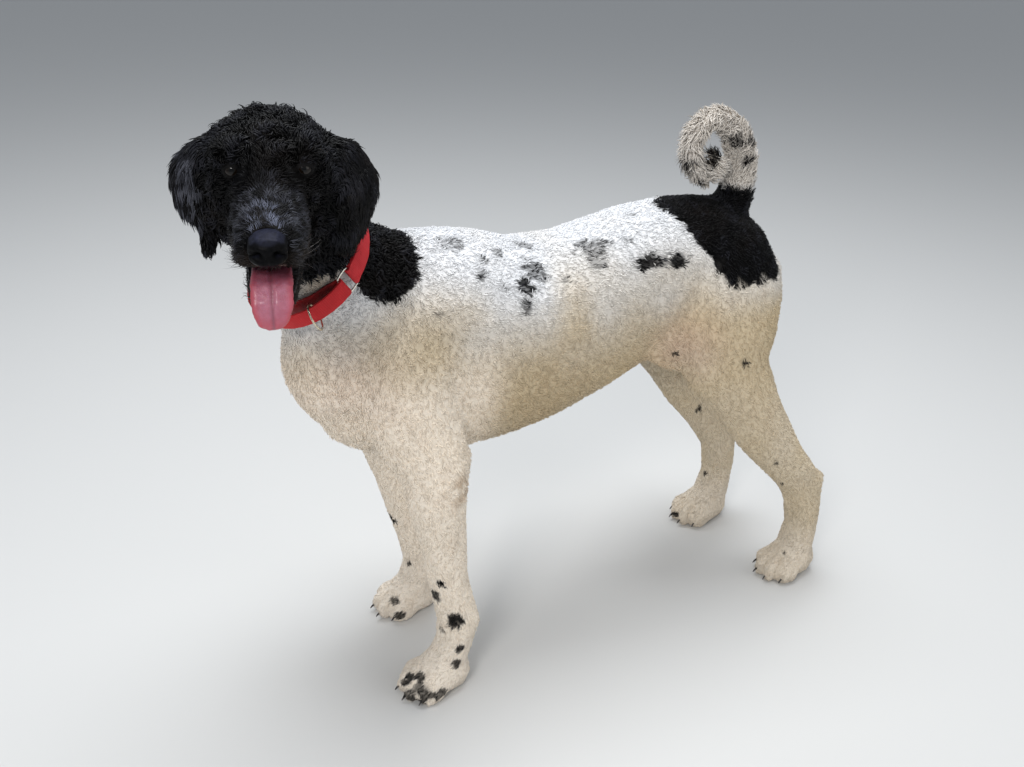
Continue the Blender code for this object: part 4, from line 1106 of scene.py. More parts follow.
def lockCorners(part, sections):  # rings of three corners along each lock, and its tip
    place, normal, near = part["place"], part["normal"], part["pressed"]
    count = len(place)
    onHead = isOf(part["node"], "head", "ear")[:, None]
    slope = np.where(onHead, *(curlSlope(place, curlCell[cell]) for cell in ("head", "body")))
    whirl = np.cross(normal, slope) * lockSpread["whirl"]
    heading = part["lie"] + whirl * part["swirl"][:, None]
    heading = heading + rng.normal(0, lockSpread["heading"], (count, 3))
    heading = unit(heading - normal * np.einsum("ij,ij->i", heading, normal)[:, None])
    beside = np.cross(normal, heading)
    low = (1 - lockShape["flatter"] * near) * (0.35 + 0.65 * ramp(part["headroom"], 0.003, 0.012))
    length = part["length"] * rng.uniform(*lockSpread["length"], count) * (1 - lockShape["shorter"] * near)
    width = part["width"] * rng.uniform(*lockSpread["width"], count)
    rise = np.radians(part["rise"] * rng.uniform(*lockSpread["rise"], count)) * low
    bend = np.radians(part["bend"] * rng.uniform(*lockSpread["bend"], count)) * (0.4 + 0.6 * low)
    sway = np.radians(part["sway"]) * (1.6 * noiseAt(place, 0.008, 41) + rng.normal(0, 0.4, count))
    blunt = lockShape["bluntFew"] if sections < lockShape["few"] else lockShape["bluntMany"]
    onEar = lockShape["hangEar"] * ramp(-normal[:, 2], -0.6, 0.0)
    hang = np.where(isOf(part["node"], "ear"), onEar, lockShape["hang"])[:, None] * np.array((0, 0, -1.0))
    rings = []
    centre = place - normal * (lockShape["sunk"] + lockShape["deeper"] * ramp(rise, 0.09, 0.45))[:, None]
    for k in range(sections):
        s = k / sections
        up = rise - bend * s
        turn = sway * s
        along = (np.cos(up) * np.cos(turn))[:, None] * heading + (np.cos(up) * np.sin(turn))[:, None] * beside
        along = unit(along + np.sin(up)[:, None] * normal + hang * s ** 0.5)
        side = unit(np.cross(along, normal))
        over = np.cross(side, along)
        wide = (width * (0.62 + 0.38 * math.sin(math.pi * min(1, s * 1.6))) * (1 - s ** blunt))[:, None] / 2
        ring = [centre + side * wide, centre + over * wide * 0.9, centre - side * wide]
        rings.append(np.stack(ring, axis=1))
        centre = centre + along * (length / sections)[:, None]
    rings.append(centre[:, None, :])
    corners = np.concatenate(rings, axis=1)
    corners[:, :, 2] = np.maximum(corners[:, :, 2], 0.0003)
    return corners


def lockFaces(sections):  # the sides, the tip and the closed root of one lock
    faces = []
    for k in range(sections - 1):
        for j in range(3):
            n = (j + 1) % 3
            faces.append((3 * k + j, 3 * k + n, 3 * k + 3 + n, 3 * k + 3 + j))
    last = 3 * (sections - 1)
    faces += [(last + j, last + (j + 1) % 3, last + 3) for j in range(3)]
    faces.append((2, 1, 0))
    return faces


def lockMesh(name, corners, faces):
    count, each = corners.shape[:2]
    sizes = np.tile([len(face) for face in faces], count)
    flat = np.concatenate([np.array(face) for face in faces])
    loops = (flat[None, :] + (np.arange(count) * each)[:, None]).ravel()
    mesh = bpy.data.meshes.new(name)
    mesh.vertices.add(count * each)
    mesh.loops.add(len(loops))
    mesh.polygons.add(len(sizes))
    mesh.vertices.foreach_set("co", corners.ravel())
    mesh.loops.foreach_set("vertex_index", loops)
    mesh.polygons.foreach_set("loop_start", np.cumsum(sizes) - sizes)
    mesh.update(calc_edges=True)
    mesh.shade_smooth()
    return mesh, loops, np.repeat(np.arange(len(sizes)), sizes)


def softenShading(mesh, under, corners, faces, share):  # only upper faces are shaded as the skin is
    flat = np.empty(len(mesh.polygons) * 3)
    mesh.polygons.foreach_get("normal", flat)
    flat = flat.reshape(-1, 3)[faces]
    own = normalsOf(mesh)[corners]
    share = share * ramp(np.einsum("ij,ij->i", flat, under), 0.15, 0.75)[:, None]
    mesh.normals_split_custom_set(unit(own * (1 - share) + under * share))


def mapLocks(mesh, middles, sections, loops):  # a small patch of the skin's map round each root
    patch = mesh.uv_layers.new(name="OFBake")
    ringPlace = np.concatenate([np.repeat(np.arange(sections), 3), [sections]]) / sections
    sidePlace = np.concatenate([np.tile([0, 0.5, 1], sections), [0.5]])
    spot = (np.stack([sidePlace, ringPlace], axis=1) - 0.5) * lockPatch
    maps = middles[:, None, :] + spot[None]
    patch.data.foreach_set("uv", maps.reshape(-1, 2)[loops].ravel())


def growLocks(name, part, sections, tintOf=None):
    place = part["place"]
    count = len(place)
    tone = "dark" if name in darkPieces else "white"
    mesh, loops, owners = lockMesh(name, lockCorners(part, sections), lockFaces(sections))
    under = np.repeat(part["normal"], len(loops) // count, axis=0)
    softenShading(mesh, under, loops, owners, softShare[tone])
    edge = rng.uniform(*lockSpread["ink"], count)
    if tintOf is None:
        tintOf = hairColour(place, np.clip(0.5 + (inkAt(place) - edge) * inkSharp, 0, 1))
    tint = tintOf * rng.uniform(*lockSpread["tint"], (count, 1))
    # painted shade along each lock, darkest at the root and lightest at the tip
    root = rootShade[tone]
    shades = [root, *np.linspace(root + nextShade, 1.0, sections - 1), tipShade]
    reach = np.repeat(shades, [3] * sections + [1])
    pointColours(mesh, "hairTintAndShade", (tint[:, None, :] * reach[None, :, None]).reshape(-1, 3))
    mapLocks(mesh, part["map"], sections, loops)
    made = newObject(name, mesh, woolFinish)
    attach(made, "root")
    print(name, count, "locks", count * (6 * (sections - 1) + 4), "triangles")


def growCoat():
    node, place = roots["node"], roots["place"]
    onSide, ahead = place[:, 1] > spine, place[:, 0] < 0.03
    face = isOf(node, "head") & (inHead(place)[:, 0] < 0.015)
    trunk = isOf(node, "trunk")
    pieces = {
        "coatFace": (face | isOf(node, "lower_jaw"), 3), "coatHead": (isOf(node, "head") & ~face, 4),
        "coatEars": (isOf(node, "ear"), 4), "coatNeck": (isOf(node, "neck"), 3),
        "coatChestLeft": (trunk & ~onSide & ahead, 2), "coatChestRight": (trunk & onSide & ahead, 2),
        "coatLoinLeft": (trunk & ~onSide & ~ahead, 2), "coatLoinRight": (trunk & onSide & ~ahead, 2),
        "coatForelegs": (isOf(node, "shoulder", "forearm"), 2), "coatThighs": (isOf(node, "thigh"), 2),
        "coatShanks": (isOf(node, "shank", "hock"), 2), "coatTail": (isOf(node, "tail"), 3),
        "coatPaws": (isOf(node, "forepaw", "hindpaw"), 2)}
    for name, (chosen, sections) in pieces.items():
        growLocks(name, {key: values[chosen] for key, values in roots.items()}, sections)


growCoat()

# region of the head in its own frame (back, out to a side, up), how many, length, width, rise, colour
whiskers = {
    "chin": ((-0.085, -0.045), (0.016, 0.034), (-0.105, -0.082), 26, 0.020, 0.0006, 30,
             (0.006, 0.006, 0.006)),
    "lip": ((-0.110, -0.060), (0.014, 0.042), (-0.074, -0.052), 34, 0.024, 0.0005, 32,
            (0.030, 0.028, 0.030)),
    "pale": ((-0.080, -0.055), (0.026, 0.040), (-0.070, -0.055), 4, 0.034, 0.0005, 20,
             (0.30, 0.28, 0.27)),
    "brow": ((-0.02, 0.01), (0.022, 0.045), (0.014, 0.024), 18, 0.016, 0.0007, 40,
             (0.010, 0.010, 0.012))}
whiskerCurve = {"bend": 45, "sway": 50, "swirl": 0.2, "sections": 6}
whiskerGap = 0.003  # from the nose and the tongue
tailTuft = {"place": (0.266, 0.046, 0.664), "reach": 0.015, "toward": (-0.70, 0.40, 0.60), "number": 300,
            "length": 0.0190, "width": 0.0022, "rise": 58, "bend": 62, "sway": 75, "swirl": 0.1,
            "spread": 0.0016, "sections": 4, "pale": (0.0, 0.0, 0.0, 0.08, 0.5)}


def rootsAt(picked, **values):  # locks on corners of the skin, all with the same values
    one = np.ones(len(picked))
    made = {"place": skinPoints[picked], "normal": skinNormals[picked], "lie": skinLie[picked],
            "node": skinNodes[picked], "map": skinMap[picked], "pressed": 0 * one,
            "headroom": airAbove["most"] * one}
    made.update({key: value * one for key, value in values.items()})
    return made


def growWhiskers():
    spans = inHead(skinPoints)
    spans[:, 1] = np.abs(spans[:, 1])
    clear = (headroom > 0.010) & isOf(skinNodes, "head", "lower_jaw")
    clear &= (gaps["nose"] > whiskerGap) & (gaps["tongue"] > whiskerGap)
    for name, (*ranges, number, length, width, rise, colour) in whiskers.items():
        inside = [(spans[:, k] > low) & (spans[:, k] < high) for k, (low, high) in enumerate(ranges)]
        found = np.flatnonzero(np.all(inside, axis=0) & clear)
        picked = rng.choice(found, min(number, len(found)), replace=False)
        curve = {key: whiskerCurve[key] for key in ("bend", "sway", "swirl")}
        part = rootsAt(picked, length=length, width=width, rise=rise, **curve)
        tint = np.tile(colour, (len(picked), 1))
        growLocks("whiskers" + name.title(), part, whiskerCurve["sections"], tint)


def growTailTuft():  # dark hair that fills the inside of the coil
    toward = unit(np.array(tailTuft["toward"]))
    near = np.linalg.norm(skinPoints - np.array(tailTuft["place"]), axis=1) < tailTuft["reach"]
    found = np.flatnonzero(near & (skinNormals @ toward > 0.15) & (skinNodes == "tail_tip"))
    picked = rng.choice(found, tailTuft["number"])
    keys = ("length", "width", "rise", "bend", "sway", "swirl")
    part = rootsAt(picked, **{key: tailTuft[key] for key in keys})
    part["place"] = part["place"] + rng.normal(0, tailTuft["spread"], (len(picked), 3))
    part["lie"] = np.tile(toward, (len(picked), 1))
    pale = rng.choice(tailTuft["pale"], len(picked))
    tint = blend(hair["brownBlack"], hair["ivory"] * 0.7, pale)
    growLocks("coatTailTuft", part, tailTuft["sections"], tint)


skinMap = np.zeros((len(skinPoints), 2))
cornerFaces, cornerMaps, _ = faceArrays()
skinMap[cornerFaces.ravel()] = cornerMaps.reshape(-1, 2)
growWhiskers()
growTailTuft()


# eyes and lids

lidShape = {"segments": 32, "corner": 0.24, "lowerHigh": 0.84, "narrower": 0.0020}
# how far over the ball each ring of the lid lies, and how many times the opening's size it has
lidRings = ((-0.0012, 0.96), (0.0002, 0.99), (0.0007, 1.03), (0.0009, 1.14), (0.0006, 1.30), (0.0010, 1.55),
            (0.0010, 1.95), (0.0004, 2.40), (-0.0035, 2.75))


def lidLoop(side, over, grow):
    found = []
    rounder = min(1.0, 0.5 * (grow - 1))
    lowerHigh = lidShape["lowerHigh"] + (1 - lidShape["lowerHigh"]) * rounder
    for k in range(lidShape["segments"]):
        angle = 2 * math.pi * k / lidShape["segments"]
        x = math.cos(angle) * (eyeShape["halfWide"] * grow - lidShape["narrower"] * max(0, grow - 1))
        high = eyeShape["halfHigh"] * (1.0 if math.sin(angle) > 0 else lowerHigh)
        pinch = 1 - lidShape["corner"] * (1 - rounder) * abs(math.cos(angle)) ** 3
        y = math.sin(angle) * (high * grow) * pinch
        arc = math.hypot(x, y) / eyeRadius
        out = Vector((x, y, 0)).normalized() * math.sin(arc) + Vector((0, 0, math.cos(arc)))
        found.append(Vector(np.array(out * (eyeRadius + over)) @ eyeAxes(side)) + eyePlaces[side])
    return found


def makeLids():
    bm = bmesh.new()
    for side in ("left", "right"):
        loops = []
        for over, grow in lidRings:
            made = bmesh.ops.create_circle(bm, segments=lidShape["segments"], radius=0.01,
                                           cap_ends=False)["verts"]
            for vertex, point in zip(made, lidLoop(side, over, grow)):
                vertex.co = point
            loops.append(list({edge for vertex in made for edge in vertex.link_edges}))
        for first, second in zip(loops, loops[1:]):
            bmesh.ops.bridge_loops(bm, edges=first + second)
    bmesh.ops.recalc_face_normals(bm, faces=bm.faces)
    lids = newObject("eyelids", meshFrom(bm, "eyelids"), lidMaterial())
    smoothOnce(lids)
    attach(lids, "root")


def lidMaterial():
    made, tree, shader = principled("lidSkin", 0.70, Specular_IOR_Level=0.08)
    colour = colourRamp(tree, objectNoise(tree, 500.0), (0.3, (0.003, 0.003, 0.0032)),
                        (0.8, (0.009, 0.008, 0.008)))
    tree.links.new(colour, shader.inputs["Base Color"])
    addBump(tree, shader, objectNoise(tree, 900.0, 3.0), 0.4, 0.0004)
    return made


gaze = {"across": 0.0, "up": 0.10, "apart": 0.13}  # how far the eyes look to the side, up and apart
# tilts from the line of sight, in radians, and how far the front of the eye bulges
irisShape = {"pupil": 0.24, "iris": 0.66, "front": 0.62, "bulge": 0.0008, "span": 1.5}
# the pupil, the brown from its inner to its outer edge, the dark rim, and what lies round it
irisColours = ((0.001, 0.001, 0.001), (0.006, 0.0035, 0.002), (0.009, 0.005, 0.003),
               (0.003, 0.003, 0.003), (0.013, 0.011, 0.011))


def orderFaces(bm):  # a sphere's faces come in another order each run
    bm.verts.index_update()

    def rank(face):
        total = 0
        for index in sorted(vertex.index for vertex in face.verts):
            total = total * len(bm.verts) + index
        return total

    bm.faces.sort(key=rank)


def makeEyes():
    finish = eyeMaterial()
    for side, sign in (("left", -1), ("right", 1)):
        look = (headAxes @ Vector((-1, gaze["across"] + sign * gaze["apart"], gaze["up"]))).normalized()
        turn = look.to_track_quat("Z", "Y").to_matrix()
        bm = bmesh.new()
        bmesh.ops.create_uvsphere(bm, u_segments=48, v_segments=32, radius=eyeRadius)
        orderFaces(bm)
        tilts = []
        for vertex in bm.verts:
            tilt = vertex.co.angle(Vector((0, 0, 1)), 0)
            tilts.append(tilt)
            vertex.co *= 1 + irisShape["bulge"] / eyeRadius * max(0, 1 - (tilt / irisShape["front"]) ** 2)
            vertex.co = turn @ vertex.co + eyePlaces[side]
        mesh = meshFrom(bm, "eyeball_" + side)
        mesh.shade_smooth()
        pointColours(mesh, "iris", np.array(tilts)[:, None] / irisShape["span"])
        ball = newObject("eyeball_" + side, mesh, finish)
        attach(ball, "root")
        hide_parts("eye_" + side)


def eyeMaterial():
    made, tree, shader = principled("wetEye", 0.06, Specular_IOR_Level=0.27)
    mark = addNode(tree, "Attribute", attribute_name="iris")
    wobble = addNode(tree, "Math", operation="MULTIPLY_ADD")
    wobble.inputs[1].default_value = 0.05
    tree.links.new(objectNoise(tree, 900.0), wobble.inputs[0])
    tree.links.new(mark.outputs["Fac"], wobble.inputs[2])
    pupil, iris = irisShape["pupil"] / irisShape["span"], irisShape["iris"] / irisShape["span"]
    places = (pupil, pupil + 0.04, iris - 0.03, iris + 0.01, iris + 0.10)
    colour = colourRamp(tree, wobble.outputs["Value"], *zip(places, irisColours))
    tree.links.new(colour, shader.inputs["Base Color"])
    return made


makeEyes()
makeLids()


# nose

noseShape = {"voxel": 0.0011, "grow": 0.0009, "middle": 0.44, "nostril": 0.0085, "nostrilPlace": 0.0100,
             "slit": 0.0026, "furrow": 0.0013, "crease": 0.0006, "wing": 0.0010,
             "skySheen": np.array((2.8, 3.1, 5.2))}


def makeNose():
    nose = remeshed("noseLeather", meshFrom(nodeCopy("nose"), "nose"), noseShape["voxel"])
    mesh = nose.data
    table = neighbourTable(mesh)
    points = averaged(cornersOf(mesh), table, 10, 0.5)
    setCorners(mesh, points)
    normals = normalsOf(mesh)
    points = points + normals * noseShape["grow"]
    local = inHead(points)
    low, high = local.min(axis=0), local.max(axis=0)
    middle = low[2] + noseShape["middle"] * (high[2] - low[2])
    facing = ramp(-(normals @ np.array(headAxes))[:, 0], -0.1, 0.4)
    _, side, up = local.T
    off = np.abs(side)
    out = off - noseShape["nostrilPlace"]
    rise = up - middle - 0.0012
    hole = np.exp(-(out / 0.0050) ** 2 - ((rise - 0.15 * out) / 0.0042) ** 2)
    slit = np.exp(-((rise + 0.0012 + 0.5 * (out - 0.004)) / 0.0013) ** 2) * ramp(out, 0.000, 0.003)
    furrow = np.exp(-(side / 0.0009) ** 2) * ramp(middle + 0.002 - up, 0, 0.004)
    creased = np.hypot(off - 0.0105, rise) - 0.0072
    crease = np.exp(-(creased / 0.0012) ** 2) * ramp(-rise, -0.002, 0.004)
    wing = np.exp(-((off - 0.0125) / 0.003) ** 2 - ((rise - 0.004) / 0.004) ** 2)
    sink = noseShape["nostril"] * hole + noseShape["slit"] * slit + noseShape["furrow"] * furrow
    sink = sink + noseShape["crease"] * crease
    points = points - normals * ((sink - noseShape["wing"] * wing) * facing)[:, None]
    points = averaged(points, table, 1, 0.5)
    setCorners(mesh, points)
    mesh.shade_smooth()
    # painted shade in the nostrils and their slits
    shade = (1 - 0.9 * np.clip(hole + 0.7 * slit, 0, 1) * facing)[:, None]
    # painted bluish sky reflection on the top of the nose
    top = ramp((normalsOf(mesh) @ np.array(headAxes))[:, 2], 0.52, 0.90)
    pointColours(mesh, "shade", shade * (1 + top[:, None] * noseShape["skySheen"]))
    mesh.materials.append(noseMaterial())
    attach(nose, "root")
    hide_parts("nose")


def noseMaterial():
    made, tree, shader = principled("noseLeather", 0.40, Specular_IOR_Level=0.04)
    shade = addNode(tree, "Attribute", attribute_name="shade")
    base = colourRamp(tree, objectNoise(tree, 300.0), (0.3, (0.0025, 0.0025, 0.0028)),
                      (0.8, (0.0055, 0.0055, 0.0065)))
    # the attribute brings the painted shade of the nostrils and the painted sky reflection on top
    colour = mixColours(tree, 1.0, base, shade.outputs["Color"], "MULTIPLY")
    tree.links.new(colour, shader.inputs["Base Color"])
    addPebbles(tree, shader, 950.0, 0.35, 0.0003)
    addRoughness(tree, shader, shade.outputs["Fac"], 0.95, 0.40)
    return made


makeNose()


# tongue

tongueShape = {"voxel": 0.0016, "groove": 0.0017, "grooveWide": 0.0017, "edge": 0.0010, "taper": 0.24,
               "hung": (0.092, 0.126), "fold": 0.098, "short": 0.86, "half": 0.0205, "aside": 0.0010}


def makeTongue():
    tongue = remeshed("wetTongue", meshFrom(nodeCopy("tongue"), "tongue"), tongueShape["voxel"])
    mesh = tongue.data
    table = neighbourTable(mesh)
    points = averaged(cornersOf(mesh), table, 22, 0.5)
    x, y, z = inHead(points).T
    hung = ramp(-z, *tongueShape["hung"])  # 0 in the mouth, 1 at the tip
    slim = 1 - tongueShape["taper"] * hung
    y = y * slim + tongueShape["aside"] * hung
    fold = -tongueShape["fold"]
    z = np.where(z < fold, fold + (z - fold) * tongueShape["short"], z)
    points = fromHead(x, y, z)
    setCorners(mesh, points)
    normals = normalsOf(mesh) @ np.array(headAxes)
    upper = ramp(np.where(x < -0.094, -normals[:, 0], normals[:, 2]), 0.1, 0.6)
    edge = np.clip(np.abs(y) / (tongueShape["half"] * slim), 0, 1.2)
    wave = y + 0.0006 * np.sin(z * 260)
    groove = np.exp(-(wave / tongueShape["grooveWide"]) ** 2) * (1 - 0.8 * ramp(-z, 0.116, 0.126))
    lift = tongueShape["edge"] * np.exp(-((edge - 0.82) / 0.16) ** 2) - tongueShape["groove"] * groove
    ripple = 0.0005 * noiseAt(points, 0.008, 71) + 0.0003 * noiseAt(points, 0.0035, 72)
    points = points + normalsOf(mesh) * ((lift * upper) + ripple)[:, None]
    points = averaged(points, table, 1, 0.5)
    setCorners(mesh, points)
    mesh.shade_smooth()
    rim = np.clip(ramp(edge, 0.55, 1.0) + 0.8 * ramp(-z, 0.104, 0.124), 0, 1)
    middle = np.exp(-(y / 0.0016) ** 2)
    # painted shade where the tongue goes in under the upper lip
    inside = ramp(z, -0.088, -0.070)
    pointColours(mesh, "tongueMap", np.stack([rim, middle, inside], axis=1))
    mesh.materials.append(tongueMaterial())
    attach(tongue, "root")
    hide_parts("tongue")


def tongueMaterial():
    made, tree, shader = principled("wetTongue", 0.42, Coat_Weight=0.35, Coat_Roughness=0.22,
                                    Subsurface_Weight=0.15, Subsurface_Scale=0.004)
    mark = addNode(tree, "Attribute", attribute_name="tongueMap")
    parts = addNode(tree, "SeparateColor")
    tree.links.new(mark.outputs["Color"], parts.inputs["Color"])
    colour = colourRamp(tree, objectNoise(tree, 150.0, 4.0), (0.35, (0.40, 0.105, 0.16)),
                        (0.7, (0.47, 0.16, 0.235)))
    colour = mixColours(tree, parts.outputs["Red"], colour, (0.47, 0.06, 0.09))
    colour = mixColours(tree, parts.outputs["Green"], colour, (0.30, 0.08, 0.12))
    # painted shade inside the mouth, at the tongue's root
    colour = mixColours(tree, parts.outputs["Blue"], colour, (0.12, 0.02, 0.03))
    tree.links.new(colour, shader.inputs["Base Color"])
    addPebbles(tree, shader, 1300.0, 0.55, 0.0006)
    return made


makeTongue()
print("eyes, nose and tongue")


# lips: a soft rim along each edge of the mouth

lipShape = {"upper": 0.0014, "lower": 0.0017, "reach": 0.027, "front": 0.084, "back": 0.030, "sides": 10,
            "stations": 0.0028, "black": (0.010, 0.008, 0.008), "pink": (0.16, 0.075, 0.055)}


def sweep(bm, path, radii):  # a closed tube along a line of points
    ring = None
    path = [Vector(p) for p in path]
    for k, (point, radius) in enumerate(zip(path, radii)):
        ahead = path[min(k + 1, len(path) - 1)] - path[max(k - 1, 0)]
        turn = ahead.to_track_quat("Z", "Y").to_matrix().to_4x4()
        made = bmesh.ops.create_circle(bm, segments=lipShape["sides"], radius=radius,
                                       cap_ends=k in (0, len(path) - 1),
                                       matrix=Matrix.Translation(point) @ turn)["verts"]
        edges = [e for e in bm.edges if e.verts[0] in made and e.verts[1] in made]
        if ring:
            bmesh.ops.bridge_loops(bm, edges=ring + edges)
        ring = edges


def edgeOfSkin(heading, keep, stations, axis):  # the skin's furthest points that way, station by station
    head = inHead(skinPoints)
    found = []
    for station in stations:
        near = np.flatnonzero(keep & (np.abs(head[:, axis] - station) < lipShape["stations"]))
        if len(near):
            found.append(head[near[np.argmax(head[near] @ np.array(heading))]])
    line = np.array(found)
    for _ in range(3):
        line[1:-1] = (line[:-2] + line[1:-1] * 2 + line[2:]) / 4
    return [headPlace @ Vector(point) for point in line]


def makeLips():
    head = inHead(skinPoints)
    bm = bmesh.new()
    upper = (skinNodes == "head") & (head[:, 0] < -0.040) & (head[:, 2] < -0.045)
    line = edgeOfSkin((-0.55, 0, -0.85), upper, np.linspace(-lipShape["reach"], lipShape["reach"], 15), 1)
    line = [point + headAxes @ Vector((0.0010, 0, -0.0002)) for point in line]
    ease = [math.sin(math.pi * (k + 0.6) / (len(line) + 0.2)) for k in range(len(line))]
    sweep(bm, line, [lipShape["upper"] * (0.5 + 0.5 * e) for e in ease])
    for side in (-1, 1):
        lower = (skinNodes == "lower_jaw") & (head[:, 1] * side > 0.006)
        stations = np.linspace(-lipShape["front"], -lipShape["back"], 18)
        line = edgeOfSkin((-0.1, side, 0.75), lower, stations, 0)
        radii = [lipShape["lower"] * (0.75 + 0.3 * math.sin(k * 2.1)) for k in range(len(line))]
        sweep(bm, line, radii)
    bmesh.ops.recalc_face_normals(bm, faces=bm.faces)
    lips = newObject("lips", meshFrom(bm, "lips"), lipMaterial())
    pointColours(lips.data, "lipTint", lipColours(cornersOf(lips.data)))
    smoothOnce(lips)
    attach(lips, "root")


def lipColours(points):  # pinkish brown under the nose, black elsewhere
    head = inHead(points)
    pink = ramp(head[:, 2], -0.080, -0.076) * ramp(-np.abs(head[:, 1]), -0.024, -0.012)
    return blend(np.array(lipShape["black"]), np.array(lipShape["pink"]), pink)


def lipMaterial():
    made, tree, shader = principled("wetLip", 0.30, Coat_Weight=0.3, Coat_Roughness=0.15)
    tint = addNode(tree, "Attribute", attribute_name="lipTint")
    spots = colourRamp(tree, objectNoise(tree, 380.0), (0.35, (0.55, 0.5, 0.5)), (0.65, (1.0, 1.0, 1.0)))
    colour = mixColours(tree, 1.0, tint.outputs["Color"], spots, "MULTIPLY")
    tree.links.new(colour, shader.inputs["Base Color"])
    addBump(tree, shader, objectNoise(tree, 1100.0, 3.0), 0.4, 0.0004)
    return made


makeLips()


# claws

def makeClaws():
    whole = bmesh.new()
    for node in slotNodes["claw"]:
        mesh = meshFrom(nodeCopy(node), node)
        whole.from_mesh(mesh)
        bpy.data.meshes.remove(mesh)
    bmesh.ops.smooth_vert(whole, verts=whole.verts, factor=0.3,
                          use_axis_x=True, use_axis_y=True, use_axis_z=True)
    piece = newObject("clawSet", meshFrom(whole, "clawSet"), clawMaterial())
    smoothOnce(piece)
    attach(piece, "root")
    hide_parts(*slotNodes["claw"])


def clawMaterial():
    made, tree, shader = principled("darkHorn", 0.34, Coat_Weight=0.2, Coat_Roughness=0.2)
    streaks = objectNoise(tree, 220.0, 3.0, stretch=(1, 1, 3))
    colour = colourRamp(tree, streaks, (0.3, (0.012, 0.010, 0.010)), (0.75, (0.050, 0.040, 0.036)))
    tree.links.new(colour, shader.inputs["Base Color"])
    addBump(tree, shader, objectNoise(tree, 900.0, 2.0, stretch=(1, 1, 0.3)), 0.3, 0.0003)
    return made


makeClaws()


# collar: woven webbing, with wire slides and a lead ring

# weave, rounding of the edges, how far the right side is drawn in, how much of its colour the loop's inner
# layer keeps under painted shade, the radius by which the map's length is counted, and how far painted shade
# darkens the weave between its ribs
webbing = {"rib": 0.0008, "ribLong": 1.5, "edge": 0.0005, "drawn": 0.0076, "inside": 0.30, "radius": 0.072,
           "between": 0.45, "worn": 0.82}


def makeStrap(node, name, shade):
    bm = nodeCopy(node)
    bmesh.ops.dissolve_limit(bm, angle_limit=math.radians(1.5), verts=bm.verts, edges=bm.edges)
    for vertex in bm.verts:  # drawn in where it would show past the jaw
        side, up, back = collarPlace.inverted() @ vertex.co
        side -= webbing["drawn"] * float(ramp(side, 0.025, 0.062) * ramp(-up, -0.010, 0.030))
        vertex.co = collarPlace @ Vector((side, up, back))
    sharp = [e for e in bm.edges if len(e.link_faces) == 2 and e.calc_face_angle() > math.radians(40)]
    bmesh.ops.bevel(bm, geom=sharp, affect="EDGES", offset=webbing["edge"], segments=2, profile=0.5,
                    material=-1)
    layer = bm.loops.layers.uv.new("OFBake")
    for face in bm.faces:  # the map runs along the strap and across it
        spots = [inCollar(np.array(loop.vert.co)) for loop in face.loops]
        angles = [math.atan2(up, side) for side, up, _ in spots]
        wrap = max(angles) - min(angles) > math.pi
        for loop, angle, spot in zip(face.loops, angles, spots):
            if wrap and angle < 0:
                angle += 2 * math.pi
            loop[layer].uv = (angle * webbing["radius"], spot[2])
    strap = newObject(name, meshFrom(bm, name), webbingMaterial(name + "Webbing", shade))
    layerShade = np.ones(len(strap.data.vertices))
    if node == "collar_loop":  # painted shade: its layer against the neck is darker
        standing = distanceTo(cornersOf(strap.data), *fleshNodes)
        layerShade = webbing["inside"] + (1 - webbing["inside"]) * ramp(standing, 0.0035, 0.0065)
    pointColours(strap.data, "layerShade", layerShade[:, None])
    strap.data.shade_smooth()
    strap.data.set_sharp_from_angle(angle=math.radians(38))
    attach(strap, "root")
    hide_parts(node)


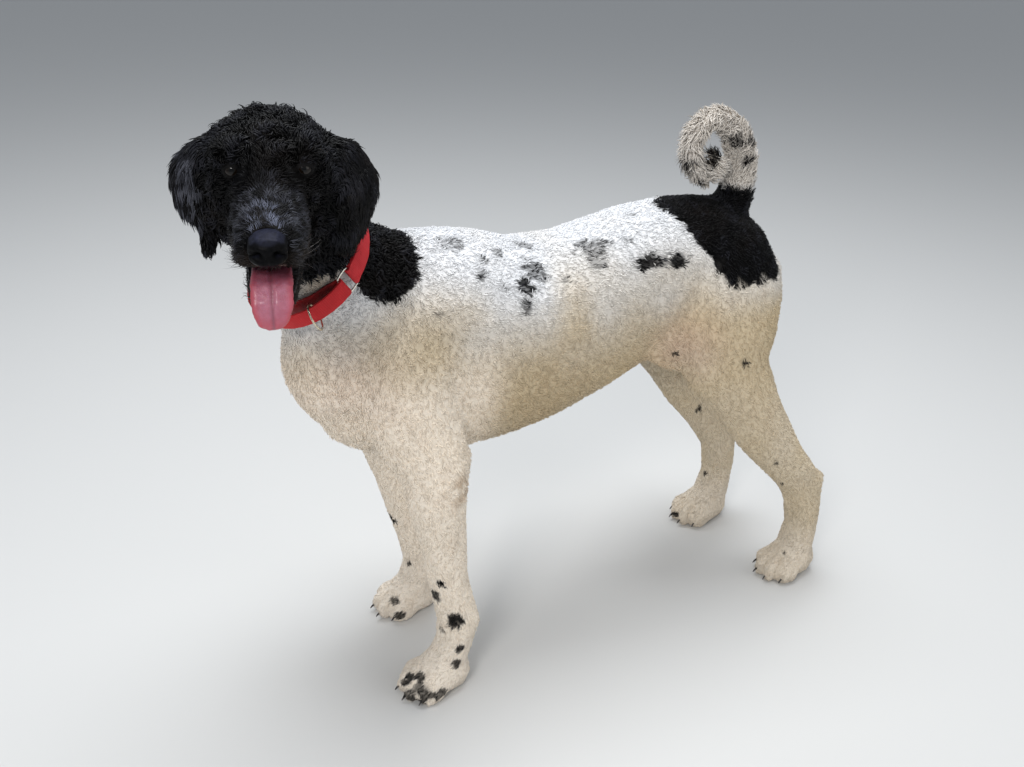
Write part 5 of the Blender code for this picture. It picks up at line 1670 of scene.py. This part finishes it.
def webbingMaterial(name, shade):
    made, tree, shader = principled(name, 0.66, Specular_IOR_Level=0.25)
    place = addNode(tree, "UVMap", uv_map="OFBake").outputs["UV"]
    waves = []
    for direction, rib in (("X", webbing["rib"]), ("Y", webbing["rib"] * webbing["ribLong"])):
        wave = addNode(tree, "TexWave", wave_type="BANDS", bands_direction=direction)
        wave.inputs["Scale"].default_value = math.pi / 20 / rib  # each wave is two ribs long
        wave.inputs["Distortion"].default_value = 0.6
        tree.links.new(place, wave.inputs["Vector"])
        waves.append(wave.outputs["Fac"])
    cross = addNode(tree, "Math", operation="MULTIPLY")
    tree.links.new(waves[0], cross.inputs[0])
    tree.links.new(waves[1], cross.inputs[1])
    worn = colourRamp(tree, objectNoise(tree, 90.0, 4.0), (0.3, tuple(webbing["worn"] * c for c in shade)),
                      (0.75, shade))
    # painted shade between the ribs of the weave
    dark = addNode(tree, "MapRange")
    dark.inputs["To Min"].default_value = webbing["between"]
    dark.inputs["To Max"].default_value = 0.0
    tree.links.new(cross.outputs["Value"], dark.inputs["Value"])
    colour = mixColours(tree, dark.outputs["Result"], worn, tuple(0.55 * c for c in shade))
    layerShade = addNode(tree, "Attribute", attribute_name="layerShade")
    colour = mixColours(tree, 1.0, colour, layerShade.outputs["Color"], "MULTIPLY")
    tree.links.new(colour, shader.inputs["Base Color"])
    addBump(tree, shader, cross.outputs["Value"], 0.5, 0.0005)
    return made


makeStrap("collar_strap", "collarStrap", (0.67, 0.030, 0.038))
# the loop is a little darker red than the strap: painted shade on the lower loop
makeStrap("collar_loop", "collarLoop", (0.63, 0.020, 0.026))


metals = {"slideLeft": ("collar_slide_left", (0.80, 0.76, 0.68)),
          "slideRight": ("collar_slide_right", (0.80, 0.76, 0.68)),
          "leadRing": ("collar_lead_ring", (0.74, 0.66, 0.50))}


def makeMetal(name, node, tone):
    bm = nodeCopy(node)
    piece = newObject(name, meshFrom(bm, name), metalMaterial(name + "Metal", tone))
    smoothOnce(piece)
    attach(piece, "root")
    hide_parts(node)


def metalMaterial(name, tone):
    made, tree, shader = principled(name, 0.25, Metallic=1.0)
    dull = tuple(0.72 * c for c in tone)
    colour = colourRamp(tree, objectNoise(tree, 400.0, 3.0), (0.3, dull), (0.7, tone))
    tree.links.new(colour, shader.inputs["Base Color"])
    addRoughness(tree, shader, objectNoise(tree, 900.0, 2.0), 0.16, 0.36)
    return made


for metalName, (metalNode, metalTone) in metals.items():
    makeMetal(metalName, metalNode, metalTone)
print("claws and collar")
